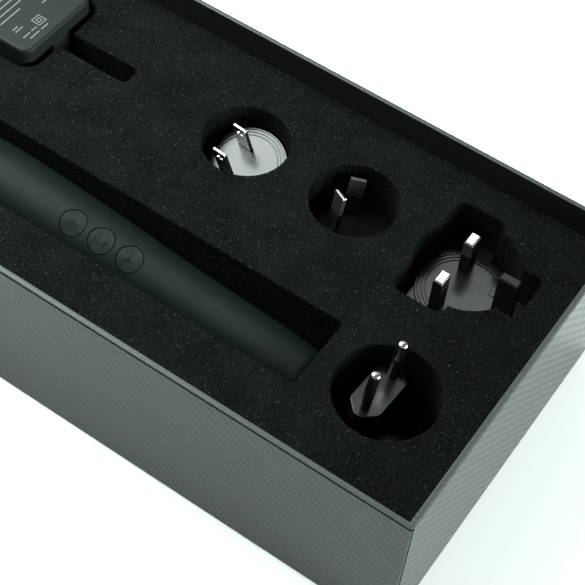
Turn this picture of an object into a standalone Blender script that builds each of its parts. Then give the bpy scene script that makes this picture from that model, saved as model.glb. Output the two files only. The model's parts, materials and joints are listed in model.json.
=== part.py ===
"""Electric toothbrush travel set in its presentation case: a rigid board case, a two-layer foam insert with
die-cut pockets, the toothbrush, a wall charger and four interchangeable plug heads.

Metres, +Z up. +X runs along the case towards the brush's tail, +Y away from its near long side. The origin is
the centre of the case's underside.
"""

import math

import bmesh
import bpy
from mathutils import Matrix, Vector

MM = 0.001
GAP = 0.3 * MM  # between pieces that touch
FIT = 0.4 * MM  # round a shaft that turns in a hole

# Case
CASE_LENGTH = 356 * MM
CASE_WIDTH = 154 * MM
CASE_HEIGHT = 78 * MM
BOARD = 2.0 * MM

# Foam insert, in two layers glued face to face
FOAM_BELOW_RIM = 12 * MM
POCKET_DEPTH = 29.4 * MM  # thickness of the upper layer, cut right through
FOAM_CLEARANCE = 0.6 * MM  # to the case's walls

# Toothbrush, measured along its axis from the tail
BRUSH_Y = -31 * MM
BRUSH_ROLL = math.radians(20)  # the buttons face a little towards the near side
BRUSH_TILT = math.radians(1.8)  # the slim tail lies lower than the thick middle
BRUSH_YAW = math.radians(-0.4)
TROUGH_DEPTH = 31.9 * MM  # of the slot under the brush, from the foam's face
TAIL_X = 110.5 * MM
HANDLE_SWELL = [  # distance from the tail, and how far the grip swells there past the chassis and its walls
    (6.0 * MM, -0.9 * MM),
    (14.0 * MM, -0.2 * MM),
    (30.0 * MM, 0.3 * MM),
    (50.0 * MM, 0.6 * MM),
    (70.0 * MM, 1.2 * MM),
    (86.0 * MM, 1.9 * MM),
    (104.0 * MM, 2.6 * MM),
    (124.0 * MM, 3.1 * MM),
    (142.0 * MM, 3.3 * MM),
    (156.0 * MM, 3.1 * MM),
    (170.0 * MM, 2.1 * MM),
    (182.0 * MM, 0.0 * MM),
    (190.0 * MM, -2.1 * MM),
]
TAIL_CAP_LENGTH = 6.0 * MM
TAIL_ROUND = 4.5 * MM
SLEEVE = 1.2 * MM
HOUSING_WALL = 1.6 * MM
COLLAR_LENGTH = 5.0 * MM
SLOT_SIDE_CLEARANCE = 0.4 * MM
SLOT_END_CLEARANCE = 1.0 * MM

# Buttons
BUTTON_RADIUS = 5.25 * MM
BUTTON_PITCH = 13.3 * MM
BUTTON_FIRST = 80.6 * MM  # from the tail to the middle of the first button
BUTTON_THICKNESS = 2.6 * MM
BUTTON_TRAVEL = 0.8 * MM
BUTTON_STEM_RADIUS = 1.6 * MM
SWITCH_SIZE = 6.0 * MM
SWITCH_HEIGHT = 1.6 * MM

# Inside the handle
BATTERY_RADIUS = 7.0 * MM
BATTERY_LENGTH = 50 * MM
BATTERY_FROM_TAIL = 22 * MM
CHASSIS_WALL = 1.2 * MM
CHASSIS_FROM_TAIL = 27 * MM
MOTOR_RADIUS = 7.0 * MM
MOTOR_LENGTH = 34 * MM
MOTOR_FROM_TAIL = 124 * MM
ISOLATOR_LENGTH = 5.0 * MM
ISOLATOR_WALL = 0.4 * MM  # that it adds round the motor's radius
BOARD_THICKNESS = 1.2 * MM
BOARD_WIDTH = 10.4 * MM
BOARD_LENGTH = 50 * MM
BOARD_FROM_TAIL = 72.8 * MM
COIL_RADIUS = 7.4 * MM
COIL_LENGTH = 8.0 * MM
COIL_FROM_TAIL = 10.0 * MM
FERRITE_RADIUS = 3.4 * MM
SHAFT_RADIUS = 1.5 * MM
SEAL_LENGTH = 4.0 * MM

# Brush head
HEAD_LENGTH = 64 * MM
HEAD_GAP = 0.6 * MM
HEAD_GRIP = 15.5 * MM  # length of shaft inside the stem
HEAD_PULL = 16 * MM
HEAD_BASE_RADIUS = 6.8 * MM
HEAD_NECK_RADIUS = 3.1 * MM
PADDLE_LENGTH = 25 * MM
PADDLE_WIDTH = 11.6 * MM
PADDLE_THICKNESS = 4.6 * MM
BRISTLE_LENGTH = 20.5 * MM
BRISTLE_WIDTH = 9.2 * MM
BRISTLE_HEIGHT = 10.4 * MM
CLIP_WALL = 0.8 * MM
CLIP_LENGTH = 10 * MM

# Charger
CHARGER_LENGTH = 72 * MM
CHARGER_WIDTH = 42 * MM
CHARGER_RIGHT_X = -60 * MM
CHARGER_Y = 35 * MM
CHARGER_DEPTH = 35.3 * MM  # from its back, on the lower foam layer, to its face
CHARGER_CORNER = 5.0 * MM
CHARGER_EDGE = 1.6 * MM
CHARGER_WALL = 2.0 * MM
CHARGER_FACE_DEPTH = 15 * MM  # of the upper shell
CHARGER_CLEARANCE = 2.6 * MM
CHANNEL_LENGTH = 34 * MM
CHANNEL_WIDTH = 9.0 * MM
USB_WIDTH = 13.2 * MM
USB_HEIGHT = 5.8 * MM
USB_DEPTH = 14 * MM
USB_BELOW_SPLIT = 5.3 * MM  # of the socket's middle, from the parting line
USB_WALL = 0.5 * MM
USB_TONGUE = 1.8 * MM
LATCH_LENGTH = 8.0 * MM
LATCH_WIDTH = 7.0 * MM
LATCH_DEPTH = 2.6 * MM
LATCH_TRAVEL = 2.0 * MM

# Plug heads
FLANGE_RADIUS = 16.9 * MM
FLANGE_THICKNESS = 4.0 * MM
RING_RADIUS = 15.9 * MM
RING_STEP = 0.6 * MM
BOSS_RADIUS = 12.5 * MM
BOSS_DEPTH = 6.0 * MM
PIN_OFFSET = -4.8 * MM  # of the line of the two live pins from the middle of the disc
PIN_TAIL = 9.0 * MM  # length of pin inside the head
POCKET_CLEARANCE = 0.9 * MM  # round a plug head's flange
US_BLADE = (6.3 * MM, 1.5 * MM, 16 * MM)
US_SPACING = 12.7 * MM
AU_BLADE = (6.3 * MM, 1.6 * MM, 17 * MM)
AU_SPACING = 13.7 * MM
AU_ANGLE = math.radians(30)
UK_PIN = (4.0 * MM, 6.35 * MM, 17.0 * MM)
UK_SLEEVE = 9.5 * MM
UK_EARTH = (8.0 * MM, 4.0 * MM, 21.3 * MM)
UK_SPACING = 22.2 * MM
UK_DISC_RADIUS = 18.5 * MM
UK_LOBE = (19 * MM, 48.6 * MM)
UK_LOBE_SET_IN = 1.6 * MM  # from the disc's edge
UK_TAB_WIDTH = 19 * MM
UK_TAB_REACH = 25.4 * MM
UK_TAB_OVERLAP = 2.1 * MM  # of the tab's root into the lobe
UK_CLEARANCE = 1.3 * MM
UK_EXTRA_DEPTH = 2.6 * MM
EU_PIN_RADIUS = 2.0 * MM
EU_PIN_LENGTH = 19 * MM
EU_BASE_SPACING = 19.0 * MM
EU_TIP_SPACING = 18.0 * MM
EU_SLEEVE = 10 * MM
EU_TOWER = (13.2 * MM, 29.6 * MM, 19 * MM)
EU_TOWER_SHOULDER = 19 * MM
EU_POCKET_CLEARANCE = 3.1 * MM  # round its flange, for fingers
EU_WELL_DEPTH = 9.7 * MM

# Heights that follow from the sizes above
FOAM_TOP = CASE_HEIGHT - FOAM_BELOW_RIM
POCKET_FLOOR = FOAM_TOP - POCKET_DEPTH
CHASSIS_BORE = max(BATTERY_RADIUS, MOTOR_RADIUS + ISOLATOR_WALL) + GAP
CHASSIS_AND_WALLS = CHASSIS_BORE + CHASSIS_WALL + HOUSING_WALL + SLEEVE + 2 * GAP
HANDLE_PROFILE = [(along, CHASSIS_AND_WALLS + swell) for along, swell in HANDLE_SWELL]
HANDLE_LENGTH = HANDLE_PROFILE[-1][0] + GAP + COLLAR_LENGTH
HANDLE_RADIUS = max(radius for _, radius in HANDLE_PROFILE)
SLOT_WIDTH = 2 * (HANDLE_RADIUS + SLOT_SIDE_CLEARANCE)
TROUGH_FLOOR = FOAM_TOP - TROUGH_DEPTH
HANDLE_DROP = max(radius + (TAIL_X - along) * math.sin(BRUSH_TILT) for along, radius in HANDLE_PROFILE)
BRUSH_Z = TROUGH_FLOOR + HANDLE_DROP + GAP
COLLAR_X = TAIL_X - HANDLE_LENGTH
HEAD_X = COLLAR_X - HEAD_GAP
HEAD_TIP_X = HEAD_X - HEAD_LENGTH
SLOT_LEFT = HEAD_TIP_X - HEAD_PULL - SLOT_END_CLEARANCE
SLOT_RIGHT = TAIL_X + SLOT_END_CLEARANCE
CHARGER_BOTTOM = POCKET_FLOOR + GAP
CHARGER_TOP = CHARGER_BOTTOM + CHARGER_DEPTH
CHARGER_X = CHARGER_RIGHT_X - CHARGER_LENGTH / 2
CHARGER_SPLIT = CHARGER_TOP - CHARGER_FACE_DEPTH
USB_Z = CHARGER_SPLIT - USB_BELOW_SPLIT
HEAD_DEPTH = FLANGE_THICKNESS + BOSS_DEPTH
POCKET_RADIUS = FLANGE_RADIUS + POCKET_CLEARANCE
EU_POCKET_RADIUS = FLANGE_RADIUS + EU_POCKET_CLEARANCE


# ---------------------------------------------------------------- helpers


def clear_scene():
    for obj in list(bpy.data.objects):
        bpy.data.objects.remove(obj, do_unlink=True)


def material(name, colour, roughness, metallic=0.0):
    mat = bpy.data.materials.new(name)
    mat.use_nodes = True
    shader = mat.node_tree.nodes["Principled BSDF"]
    shader.inputs["Base Color"].default_value = (*colour, 1.0)
    shader.inputs["Roughness"].default_value = roughness
    shader.inputs["Metallic"].default_value = metallic
    return mat


def add_object(name, bm, mat, parent=None, smooth=False):
    bmesh.ops.remove_doubles(bm, verts=bm.verts, dist=1e-7)
    bmesh.ops.recalc_face_normals(bm, faces=bm.faces)
    mesh = bpy.data.meshes.new(name)
    bm.to_mesh(mesh)
    bm.free()
    if smooth:
        mesh.shade_smooth()
        mesh.set_sharp_from_angle(angle=math.radians(35))
    if mat:
        mesh.materials.append(mat)
    obj = bpy.data.objects.new(name, mesh)
    obj.parent = parent
    bpy.context.collection.objects.link(obj)
    return obj


def empty(name, location, rotation=(0, 0, 0), parent=None):
    obj = bpy.data.objects.new(name, None)
    obj.location = location
    obj.rotation_euler = rotation
    obj.parent = parent
    bpy.context.collection.objects.link(obj)
    return obj


def boolean(target, other, operation="DIFFERENCE"):
    """The other object becomes a hidden helper of the target."""
    modifier = target.modifiers.new(operation.title(), "BOOLEAN")
    modifier.operation = operation
    modifier.solver = "EXACT"
    modifier.object = other
    other.hide_render = True
    other.display_type = "WIRE"


def box(low, high):
    bm = bmesh.new()
    bmesh.ops.create_cube(bm, size=1.0)
    low, high = Vector(low), Vector(high)
    size, centre = high - low, (high + low) / 2
    bmesh.ops.scale(bm, vec=size, verts=bm.verts)
    bmesh.ops.translate(bm, vec=centre, verts=bm.verts)
    return bm


def prism(outline, bottom, top):
    """An outline in X and Y, extruded along Z."""
    bm = bmesh.new()
    face = bm.faces.new([bm.verts.new((x, y, bottom)) for x, y in outline])
    grown = bmesh.ops.extrude_face_region(bm, geom=[face])
    moved = [item for item in grown["geom"] if isinstance(item, bmesh.types.BMVert)]
    bmesh.ops.translate(bm, vec=(0, 0, top - bottom), verts=moved)
    return bm


def rounded_rectangle(low, high, radius, segments=5):
    """Corner points of a rectangle with round corners, anticlockwise."""
    points = []
    corners = [(high[0], high[1], 0), (low[0], high[1], 90), (low[0], low[1], 180), (high[0], low[1], 270)]
    for x, y, start in corners:
        centre_x = x - radius if x == high[0] else x + radius
        centre_y = y - radius if y == high[1] else y + radius
        for step in range(segments + 1):
            angle = math.radians(start + 90 * step / segments)
            points.append((centre_x + radius * math.cos(angle), centre_y + radius * math.sin(angle)))
    return points


def circle(radius, segments, centre=(0, 0)):
    turn = 2 * math.pi / segments
    return [
        (centre[0] + radius * math.cos(turn * step), centre[1] + radius * math.sin(turn * step))
        for step in range(segments)
    ]


def lathe(profile, segments, closed=False):
    """Turns (height, radius) points round Z. A closed profile makes a tube or a ring, an open one is capped."""
    bm = bmesh.new()
    rings = []
    for height, radius in profile:
        rings.append([bm.verts.new((x, y, height)) for x, y in circle(radius, segments)])
    pairs = list(zip(rings, rings[1:]))
    if closed:
        pairs.append((rings[-1], rings[0]))
    for lower, upper in pairs:
        for step in range(segments):
            following = (step + 1) % segments
            bm.faces.new((lower[step], lower[following], upper[following], upper[step]))
    if not closed:
        bm.faces.new(rings[0])
        bm.faces.new(rings[-1])
    return bm


def along_x(bm):
    """Lays a shape turned round Z down, so that its height runs along +X."""
    bmesh.ops.rotate(bm, matrix=Matrix.Rotation(math.radians(90), 3, "Y"), verts=bm.verts)
    return bm


def tube(low, high, outer, inner, segments):
    return lathe([(low, inner), (low, outer), (high, outer), (high, inner)], segments, closed=True)


def rod(low, high, radius, segments, chamfer=0.0):
    profile = [(low, radius - chamfer), (low + chamfer, radius), (high - chamfer, radius), (high, radius - chamfer)]
    return lathe(profile if chamfer else [(low, radius), (high, radius)], segments)


def moved(bm, vector):
    bmesh.ops.translate(bm, vec=vector, verts=bm.verts)
    return bm


# ---------------------------------------------------------------- materials

CASE_WRAP = (0.12, 0.13, 0.13)
FOAM_BLACK = (0.014, 0.015, 0.015)
SILICONE = (0.035, 0.042, 0.045)
GLOSS_BLACK = (0.02, 0.02, 0.022)


def make_materials():
    return {
        "wrap": material("case_wrap", CASE_WRAP, 0.5),
        "foam": material("foam", FOAM_BLACK, 0.95),
        "silicone": material("silicone", SILICONE, 0.6),
        "abs": material("housing_plastic", (0.05, 0.05, 0.055), 0.45),
        "white": material("white_plastic", (0.75, 0.76, 0.76), 0.35),
        "nylon": material("nylon", (0.8, 0.82, 0.84), 0.5),
        "gloss": material("gloss_black", GLOSS_BLACK, 0.12),
        "charger": material("charger_plastic", (0.06, 0.065, 0.065), 0.5),
        "nickel": material("nickel", (0.75, 0.75, 0.73), 0.2, 1.0),
        "steel": material("steel", (0.55, 0.55, 0.56), 0.3, 1.0),
        "copper": material("copper", (0.72, 0.38, 0.22), 0.35, 1.0),
        "ferrite": material("ferrite", (0.05, 0.05, 0.05), 0.7),
        "rubber": material("rubber", (0.02, 0.02, 0.02), 0.8),
        "pcb": material("board_green", (0.02, 0.16, 0.07), 0.4),
        "sleeve": material("pin_sleeve", (0.02, 0.02, 0.02), 0.4),
        "cell": material("battery_wrap", (0.05, 0.2, 0.45), 0.4),
    }


# ---------------------------------------------------------------- case and foam


def build_case(mats):
    half_x, half_y = CASE_LENGTH / 2, CASE_WIDTH / 2
    inner_x, inner_y = half_x - BOARD, half_y - BOARD
    base_x, base_y = inner_x - GAP, inner_y - GAP
    add_object("case_base_board", box((-base_x, -base_y, 0), (base_x, base_y, BOARD)), mats["wrap"])
    for name, side in (("near_side_board", -1), ("far_side_board", 1)):
        faces = sorted((side * half_y, side * inner_y))
        low, high = (-half_x, faces[0], 0), (half_x, faces[1], CASE_HEIGHT)
        add_object(name, box(low, high), mats["wrap"])
    for name, side in (("left_end_board", -1), ("right_end_board", 1)):
        faces = sorted((side * half_x, side * inner_x))
        low, high = (faces[0], -base_y, 0), (faces[1], base_y, CASE_HEIGHT)
        add_object(name, box(low, high), mats["wrap"])


def slot_outline(grow=0.0):
    low = (SLOT_LEFT - grow, BRUSH_Y - SLOT_WIDTH / 2 - grow)
    high = (SLOT_RIGHT + grow, BRUSH_Y + SLOT_WIDTH / 2 + grow)
    return rounded_rectangle(low, high, 1.2 * MM, 2)


def cutter(name, outline, bottom, top):
    return add_object(name, prism(outline, bottom, top), None)


def uk_pieces(clearance):
    """The three overlapping outlines of the three-pin head: a lobe for the live pins, the disc and an earth tab."""
    disc_x, disc_y = HEADS["uk"]["centre"]
    lobe_length, lobe_width = UK_LOBE
    lobe_left = disc_x - UK_DISC_RADIUS + UK_LOBE_SET_IN
    tab_left = lobe_left + lobe_length - UK_TAB_OVERLAP
    lobe = rounded_rectangle(
        (lobe_left - clearance, disc_y - lobe_width / 2 - clearance),
        (lobe_left + lobe_length + clearance, disc_y + lobe_width / 2 + clearance),
        4.0 * MM,
        4,
    )
    tab = rounded_rectangle(
        (tab_left, disc_y - UK_TAB_WIDTH / 2 - clearance),
        (disc_x + UK_TAB_REACH + clearance, disc_y + UK_TAB_WIDTH / 2 + clearance),
        2.0 * MM,
        3,
    )
    disc = circle(UK_DISC_RADIUS + clearance + 1.1 * MM * (clearance > 0), 40, (disc_x, disc_y))
    return lobe, tab, disc


def build_foam(mats):
    half_x = CASE_LENGTH / 2 - BOARD - FOAM_CLEARANCE
    half_y = CASE_WIDTH / 2 - BOARD - FOAM_CLEARANCE
    upper = add_object("foam_upper_layer", box((-half_x, -half_y, POCKET_FLOOR + GAP), (half_x, half_y, FOAM_TOP)),
                       mats["foam"])
    lower = add_object("foam_lower_layer", box((-half_x, -half_y, BOARD + GAP), (half_x, half_y, POCKET_FLOOR)),
                       mats["foam"])
    above, below = FOAM_TOP + 5 * MM, POCKET_FLOOR - 1 * MM
    boolean(upper, cutter("cut_slot", slot_outline(), below, above))
    boolean(lower, cutter("cut_trough", slot_outline(), TROUGH_FLOOR, above))
    reach = CHARGER_CLEARANCE
    pocket = rounded_rectangle(
        (CHARGER_X - CHARGER_LENGTH / 2 - reach, CHARGER_Y - CHARGER_WIDTH / 2 - reach),
        (CHARGER_X + CHARGER_LENGTH / 2 + reach, CHARGER_Y + CHARGER_WIDTH / 2 + reach),
        CHARGER_CORNER + reach,
    )
    boolean(upper, cutter("cut_charger", pocket, below, above))
    channel = rounded_rectangle(
        (CHARGER_RIGHT_X - CHARGER_WIDTH / 4, CHARGER_Y - CHANNEL_WIDTH / 2 - 0.5 * MM),
        (CHARGER_RIGHT_X + reach + CHANNEL_LENGTH, CHARGER_Y + CHANNEL_WIDTH / 2 - 0.5 * MM),
        2.5 * MM,
        3,
    )
    boolean(upper, cutter("cut_channel", channel, below, above))
    for key in ("us", "au"):
        ring = circle(POCKET_RADIUS, 40, HEADS[key]["pocket"])
        boolean(upper, cutter(f"cut_{key}", ring, below, above))
    eu_ring = circle(EU_POCKET_RADIUS, 40, HEADS["eu"]["pocket"])
    boolean(upper, cutter("cut_eu", eu_ring, below, above))
    boolean(lower, cutter("cut_eu_well", eu_ring, POCKET_FLOOR - EU_WELL_DEPTH, above))
    for index, outline in enumerate(uk_pieces(UK_CLEARANCE)):
        boolean(upper, cutter(f"cut_uk_{index}", outline, below, above))


# ---------------------------------------------------------------- toothbrush


def handle_radius(from_tail):
    """Radius of the handle, on a smooth curve through HANDLE_PROFILE."""
    points = HANDLE_PROFILE
    if from_tail <= points[0][0]:
        return points[0][1]
    for index in range(len(points) - 1):
        (start, low), (end, high) = points[index], points[index + 1]
        if from_tail <= end:
            break
    before = points[max(index - 1, 0)]
    after = points[min(index + 2, len(points) - 1)]
    span = end - start
    slope_in = (high - before[1]) / (end - before[0]) * span
    slope_out = (after[1] - low) / (after[0] - start) * span
    t = min(max((from_tail - start) / span, 0.0), 1.0)
    return (
        (2 * t**3 - 3 * t**2 + 1) * low
        + (t**3 - 2 * t**2 + t) * slope_in
        + (3 * t**2 - 2 * t**3) * high
        + (t**3 - t**2) * slope_out
    )


def shell_profile(start, end, outer_inset, inner_inset, stations):
    """Closed (x, radius) profile of a shell that follows the handle, start and end given from the tail."""
    places = [start + (end - start) * step / (stations - 1) for step in range(stations)]
    outer = [(TAIL_X - place, handle_radius(place) - outer_inset) for place in places]
    inner = [(TAIL_X - place, handle_radius(place) - inner_inset) for place in reversed(places)]
    return outer + inner


def button_places():
    return [TAIL_X - BUTTON_FIRST - BUTTON_PITCH * step for step in range(3)]


def button_top(x):
    return handle_radius(TAIL_X - x)


def build_handle(mats, axis):
    sleeve_start = TAIL_CAP_LENGTH + GAP
    sleeve_end = HANDLE_PROFILE[-1][0]
    sleeve = add_object("silicone_grip_sleeve",
                        along_x(lathe(shell_profile(sleeve_start, sleeve_end, 0, SLEEVE, 17), 32, closed=True)),
                        mats["silicone"], axis, smooth=True)
    housing_inset = SLEEVE + GAP
    profile = shell_profile(sleeve_start + 1 * MM, sleeve_end - 0.6 * MM, housing_inset,
                            housing_inset + HOUSING_WALL, 14)
    housing = add_object("handle_housing", along_x(lathe(profile, 24, closed=True)), mats["abs"], axis, smooth=True)
    for index, x in enumerate(button_places()):
        hole = rod(2 * MM, HANDLE_RADIUS + 5 * MM, BUTTON_RADIUS + GAP, 26)
        helper = add_object(f"cut_button_{index}", moved(hole, (x, 0, 0)), None, axis)
        boolean(sleeve, helper)
        boolean(housing, helper)
    cap_radius = handle_radius(0)
    cap_profile = [(TAIL_X - TAIL_CAP_LENGTH, cap_radius)]
    for step in range(5):
        angle = math.radians(90 * step / 4)
        cap_profile.append((TAIL_X - TAIL_ROUND + TAIL_ROUND * math.sin(angle),
                            cap_radius - TAIL_ROUND * (1 - math.cos(angle))))
    add_object("tail_cap", along_x(lathe(cap_profile, 32)), mats["silicone"], axis, smooth=True)
    bore = handle_radius(sleeve_start) - housing_inset - HOUSING_WALL
    seal_x = TAIL_X - TAIL_CAP_LENGTH - 2 * GAP
    add_object("tail_cap_seal", along_x(tube(seal_x - 2.4 * MM, seal_x, bore - GAP, bore - 2 * MM, 24)),
               mats["rubber"], axis, smooth=True)
    collar_outer = handle_radius(sleeve_end) - 0.4 * MM
    collar_profile = [
        (COLLAR_X, SHAFT_RADIUS + FIT),
        (COLLAR_X, collar_outer - 2.2 * MM),
        (COLLAR_X + 1.2 * MM, collar_outer - 1.0 * MM),
        (COLLAR_X + COLLAR_LENGTH, collar_outer),
        (COLLAR_X + COLLAR_LENGTH, SHAFT_RADIUS + FIT),
    ]
    add_object("neck_collar", along_x(lathe(collar_profile, 28, closed=True)), mats["steel"], axis, smooth=True)


def build_buttons(mats, axis):
    for name, x in zip(("minus", "power", "plus"), button_places()):
        top = button_top(x)
        place = empty(f"{name}_button_axis", (x, 0, top), parent=axis)
        cap = lathe(
            [
                (-BUTTON_THICKNESS - 0.9 * MM, BUTTON_STEM_RADIUS),
                (-BUTTON_THICKNESS, BUTTON_STEM_RADIUS),
                (-BUTTON_THICKNESS, BUTTON_RADIUS),
                (-0.3 * MM, BUTTON_RADIUS),
                (0, BUTTON_RADIUS - 0.4 * MM),
            ],
            28,
        )
        add_object(f"{name}_button", cap, mats["silicone"], place, smooth=True)


def build_electronics(mats, axis):
    stem_bottom = button_top(button_places()[0]) - BUTTON_THICKNESS - 0.9 * MM
    switch_top = stem_bottom - BUTTON_TRAVEL - GAP
    board_top = switch_top - SWITCH_HEIGHT - GAP
    board_low = board_top - BOARD_THICKNESS
    start = TAIL_X - BOARD_FROM_TAIL
    add_object("circuit_board",
               box((start - BOARD_LENGTH, -BOARD_WIDTH / 2, board_low), (start, BOARD_WIDTH / 2, board_top)),
               mats["pcb"], axis)
    half = SWITCH_SIZE / 2
    for name, x in zip(("minus", "power", "plus"), button_places()):
        low, high = (x - half, -half, board_top + GAP), (x + half, half, switch_top)
        add_object(f"{name}_switch", box(low, high), mats["steel"], axis)
    battery_x = TAIL_X - BATTERY_FROM_TAIL
    add_object("battery", along_x(rod(battery_x - BATTERY_LENGTH, battery_x, BATTERY_RADIUS, 24, 0.6 * MM)),
               mats["cell"], axis, smooth=True)
    motor_x = TAIL_X - MOTOR_FROM_TAIL
    motor_end = motor_x - MOTOR_LENGTH
    add_object("motor", along_x(rod(motor_end, motor_x, MOTOR_RADIUS, 24, 0.8 * MM)), mats["steel"], axis,
               smooth=True)
    isolator_x = motor_end - GAP
    add_object("motor_isolator",
               along_x(tube(isolator_x - ISOLATOR_LENGTH, isolator_x, CHASSIS_BORE - GAP,
                            SHAFT_RADIUS + 1.0 * MM, 24)),
               mats["rubber"], axis, smooth=True)
    build_chassis(mats, axis, isolator_x - ISOLATOR_LENGTH)
    coil_x = TAIL_X - COIL_FROM_TAIL
    add_object("charging_coil", along_x(tube(coil_x - COIL_LENGTH, coil_x, COIL_RADIUS, FERRITE_RADIUS + GAP, 24)),
               mats["copper"], axis, smooth=True)
    add_object("coil_ferrite", along_x(rod(coil_x - COIL_LENGTH, coil_x, FERRITE_RADIUS, 16)), mats["ferrite"], axis,
               smooth=True)


def build_chassis(mats, axis, left):
    """Half-round trough under the battery and the motor."""
    right = TAIL_X - CHASSIS_FROM_TAIL
    inner = CHASSIS_BORE
    outer = inner + CHASSIS_WALL
    steps = 10
    arc = [math.radians(190 + 160 * step / steps) for step in range(steps + 1)]
    outline = [(-outer * math.sin(a), outer * math.cos(a)) for a in arc]
    outline += [(-inner * math.sin(a), inner * math.cos(a)) for a in reversed(arc)]
    add_object("motor_and_battery_chassis", along_x(prism(outline, left, right)), mats["abs"], axis)


def build_drive(mats, axis):
    shaft_start = TAIL_X - MOTOR_FROM_TAIL - MOTOR_LENGTH - GAP
    shaft_end = HEAD_X - HEAD_GRIP
    drive = empty("drive_axis", (0, 0, 0), parent=axis)
    add_object("drive_shaft", along_x(rod(shaft_end, shaft_start, SHAFT_RADIUS, 16, 0.4 * MM)), mats["steel"], drive,
               smooth=True)
    seal_right = COLLAR_X + COLLAR_LENGTH + GAP + SEAL_LENGTH
    seal_outer = handle_radius(HANDLE_PROFILE[-1][0]) - SLEEVE - HOUSING_WALL - 3 * GAP
    add_object("shaft_seal",
               along_x(tube(seal_right - SEAL_LENGTH, seal_right, seal_outer, SHAFT_RADIUS + FIT, 24)),
               mats["rubber"], axis, smooth=True)
    return drive


def build_brush_head(mats, drive):
    tip = HEAD_TIP_X
    paddle_right = tip + PADDLE_LENGTH
    clip_outer = SHAFT_RADIUS + GAP + CLIP_WALL
    bore = clip_outer + GAP
    bore_end = HEAD_X - HEAD_GRIP - 1 * MM
    stem = add_object("brush_head_stem", along_x(lathe(
        [
            (paddle_right - 4 * MM, HEAD_NECK_RADIUS - 1.2 * MM),
            (paddle_right + 4 * MM, HEAD_NECK_RADIUS),
            (bore_end - 6 * MM, HEAD_NECK_RADIUS + 0.6 * MM),
            (bore_end + 2 * MM, HEAD_NECK_RADIUS + 1.6 * MM),
            (HEAD_X - 6 * MM, HEAD_BASE_RADIUS - 0.6 * MM),
            (HEAD_X, HEAD_BASE_RADIUS),
            (HEAD_X, bore),
            (bore_end, bore),
        ], 24)), mats["white"], drive, smooth=True)
    half = PADDLE_WIDTH / 2
    paddle = prism(rounded_rectangle((tip, -half), (paddle_right, half), half - 0.4 * MM, 6),
                   -PADDLE_THICKNESS / 2, PADDLE_THICKNESS / 2)
    boolean(stem, add_object("join_paddle", paddle, None, drive), "UNION")
    middle = tip + PADDLE_LENGTH / 2
    low_z = PADDLE_THICKNESS / 2 + GAP
    tufts = prism(
        rounded_rectangle((middle - BRISTLE_LENGTH / 2, -BRISTLE_WIDTH / 2),
                          (middle + BRISTLE_LENGTH / 2, BRISTLE_WIDTH / 2), BRISTLE_WIDTH / 2 - 0.4 * MM, 5),
        low_z, low_z + BRISTLE_HEIGHT)
    add_object("bristle_tufts", tufts, mats["nylon"], drive)
    clip_x = HEAD_X - 2 * MM
    add_object("shaft_clip", along_x(tube(clip_x - CLIP_LENGTH, clip_x, clip_outer, SHAFT_RADIUS + GAP, 20)),
               mats["steel"], drive, smooth=True)


def build_toothbrush(mats):
    axis = empty("toothbrush_axis", (0, BRUSH_Y, BRUSH_Z), (BRUSH_ROLL, BRUSH_TILT, BRUSH_YAW))
    build_handle(mats, axis)
    build_buttons(mats, axis)
    build_electronics(mats, axis)
    build_brush_head(mats, build_drive(mats, axis))


# ---------------------------------------------------------------- charger


def charger_outline(inset):
    low = (CHARGER_X - CHARGER_LENGTH / 2 + inset, CHARGER_Y - CHARGER_WIDTH / 2 + inset)
    high = (CHARGER_X + CHARGER_LENGTH / 2 - inset, CHARGER_Y + CHARGER_WIDTH / 2 - inset)
    return rounded_rectangle(low, high, CHARGER_CORNER - inset, 5)


def charger_shell(name, bottom, top, closed_at, mats):
    """Half of the charger's casing: closed at its top or its bottom, open where the halves meet."""
    shell = add_object(name, prism(charger_outline(0), bottom, top), mats["charger"])
    bevel_edge(shell, top if closed_at == "top" else bottom)
    if closed_at == "top":
        cavity = (bottom - 1 * MM, top - CHARGER_WALL)
    else:
        cavity = (bottom + CHARGER_WALL, top + 1 * MM)
    boolean(shell, cutter(f"cut_{name}", charger_outline(CHARGER_WALL), *cavity))
    return shell


def bevel_edge(obj, height):
    """Rounds the rim of the face at this height."""
    bm = bmesh.new()
    bm.from_mesh(obj.data)
    rim = [edge for edge in bm.edges if all(abs(vert.co.z - height) < 1e-6 for vert in edge.verts)]
    bmesh.ops.bevel(bm, geom=rim, offset=CHARGER_EDGE, segments=3, profile=0.5, affect="EDGES", material=-1)
    bm.to_mesh(obj.data)
    bm.free()


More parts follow.
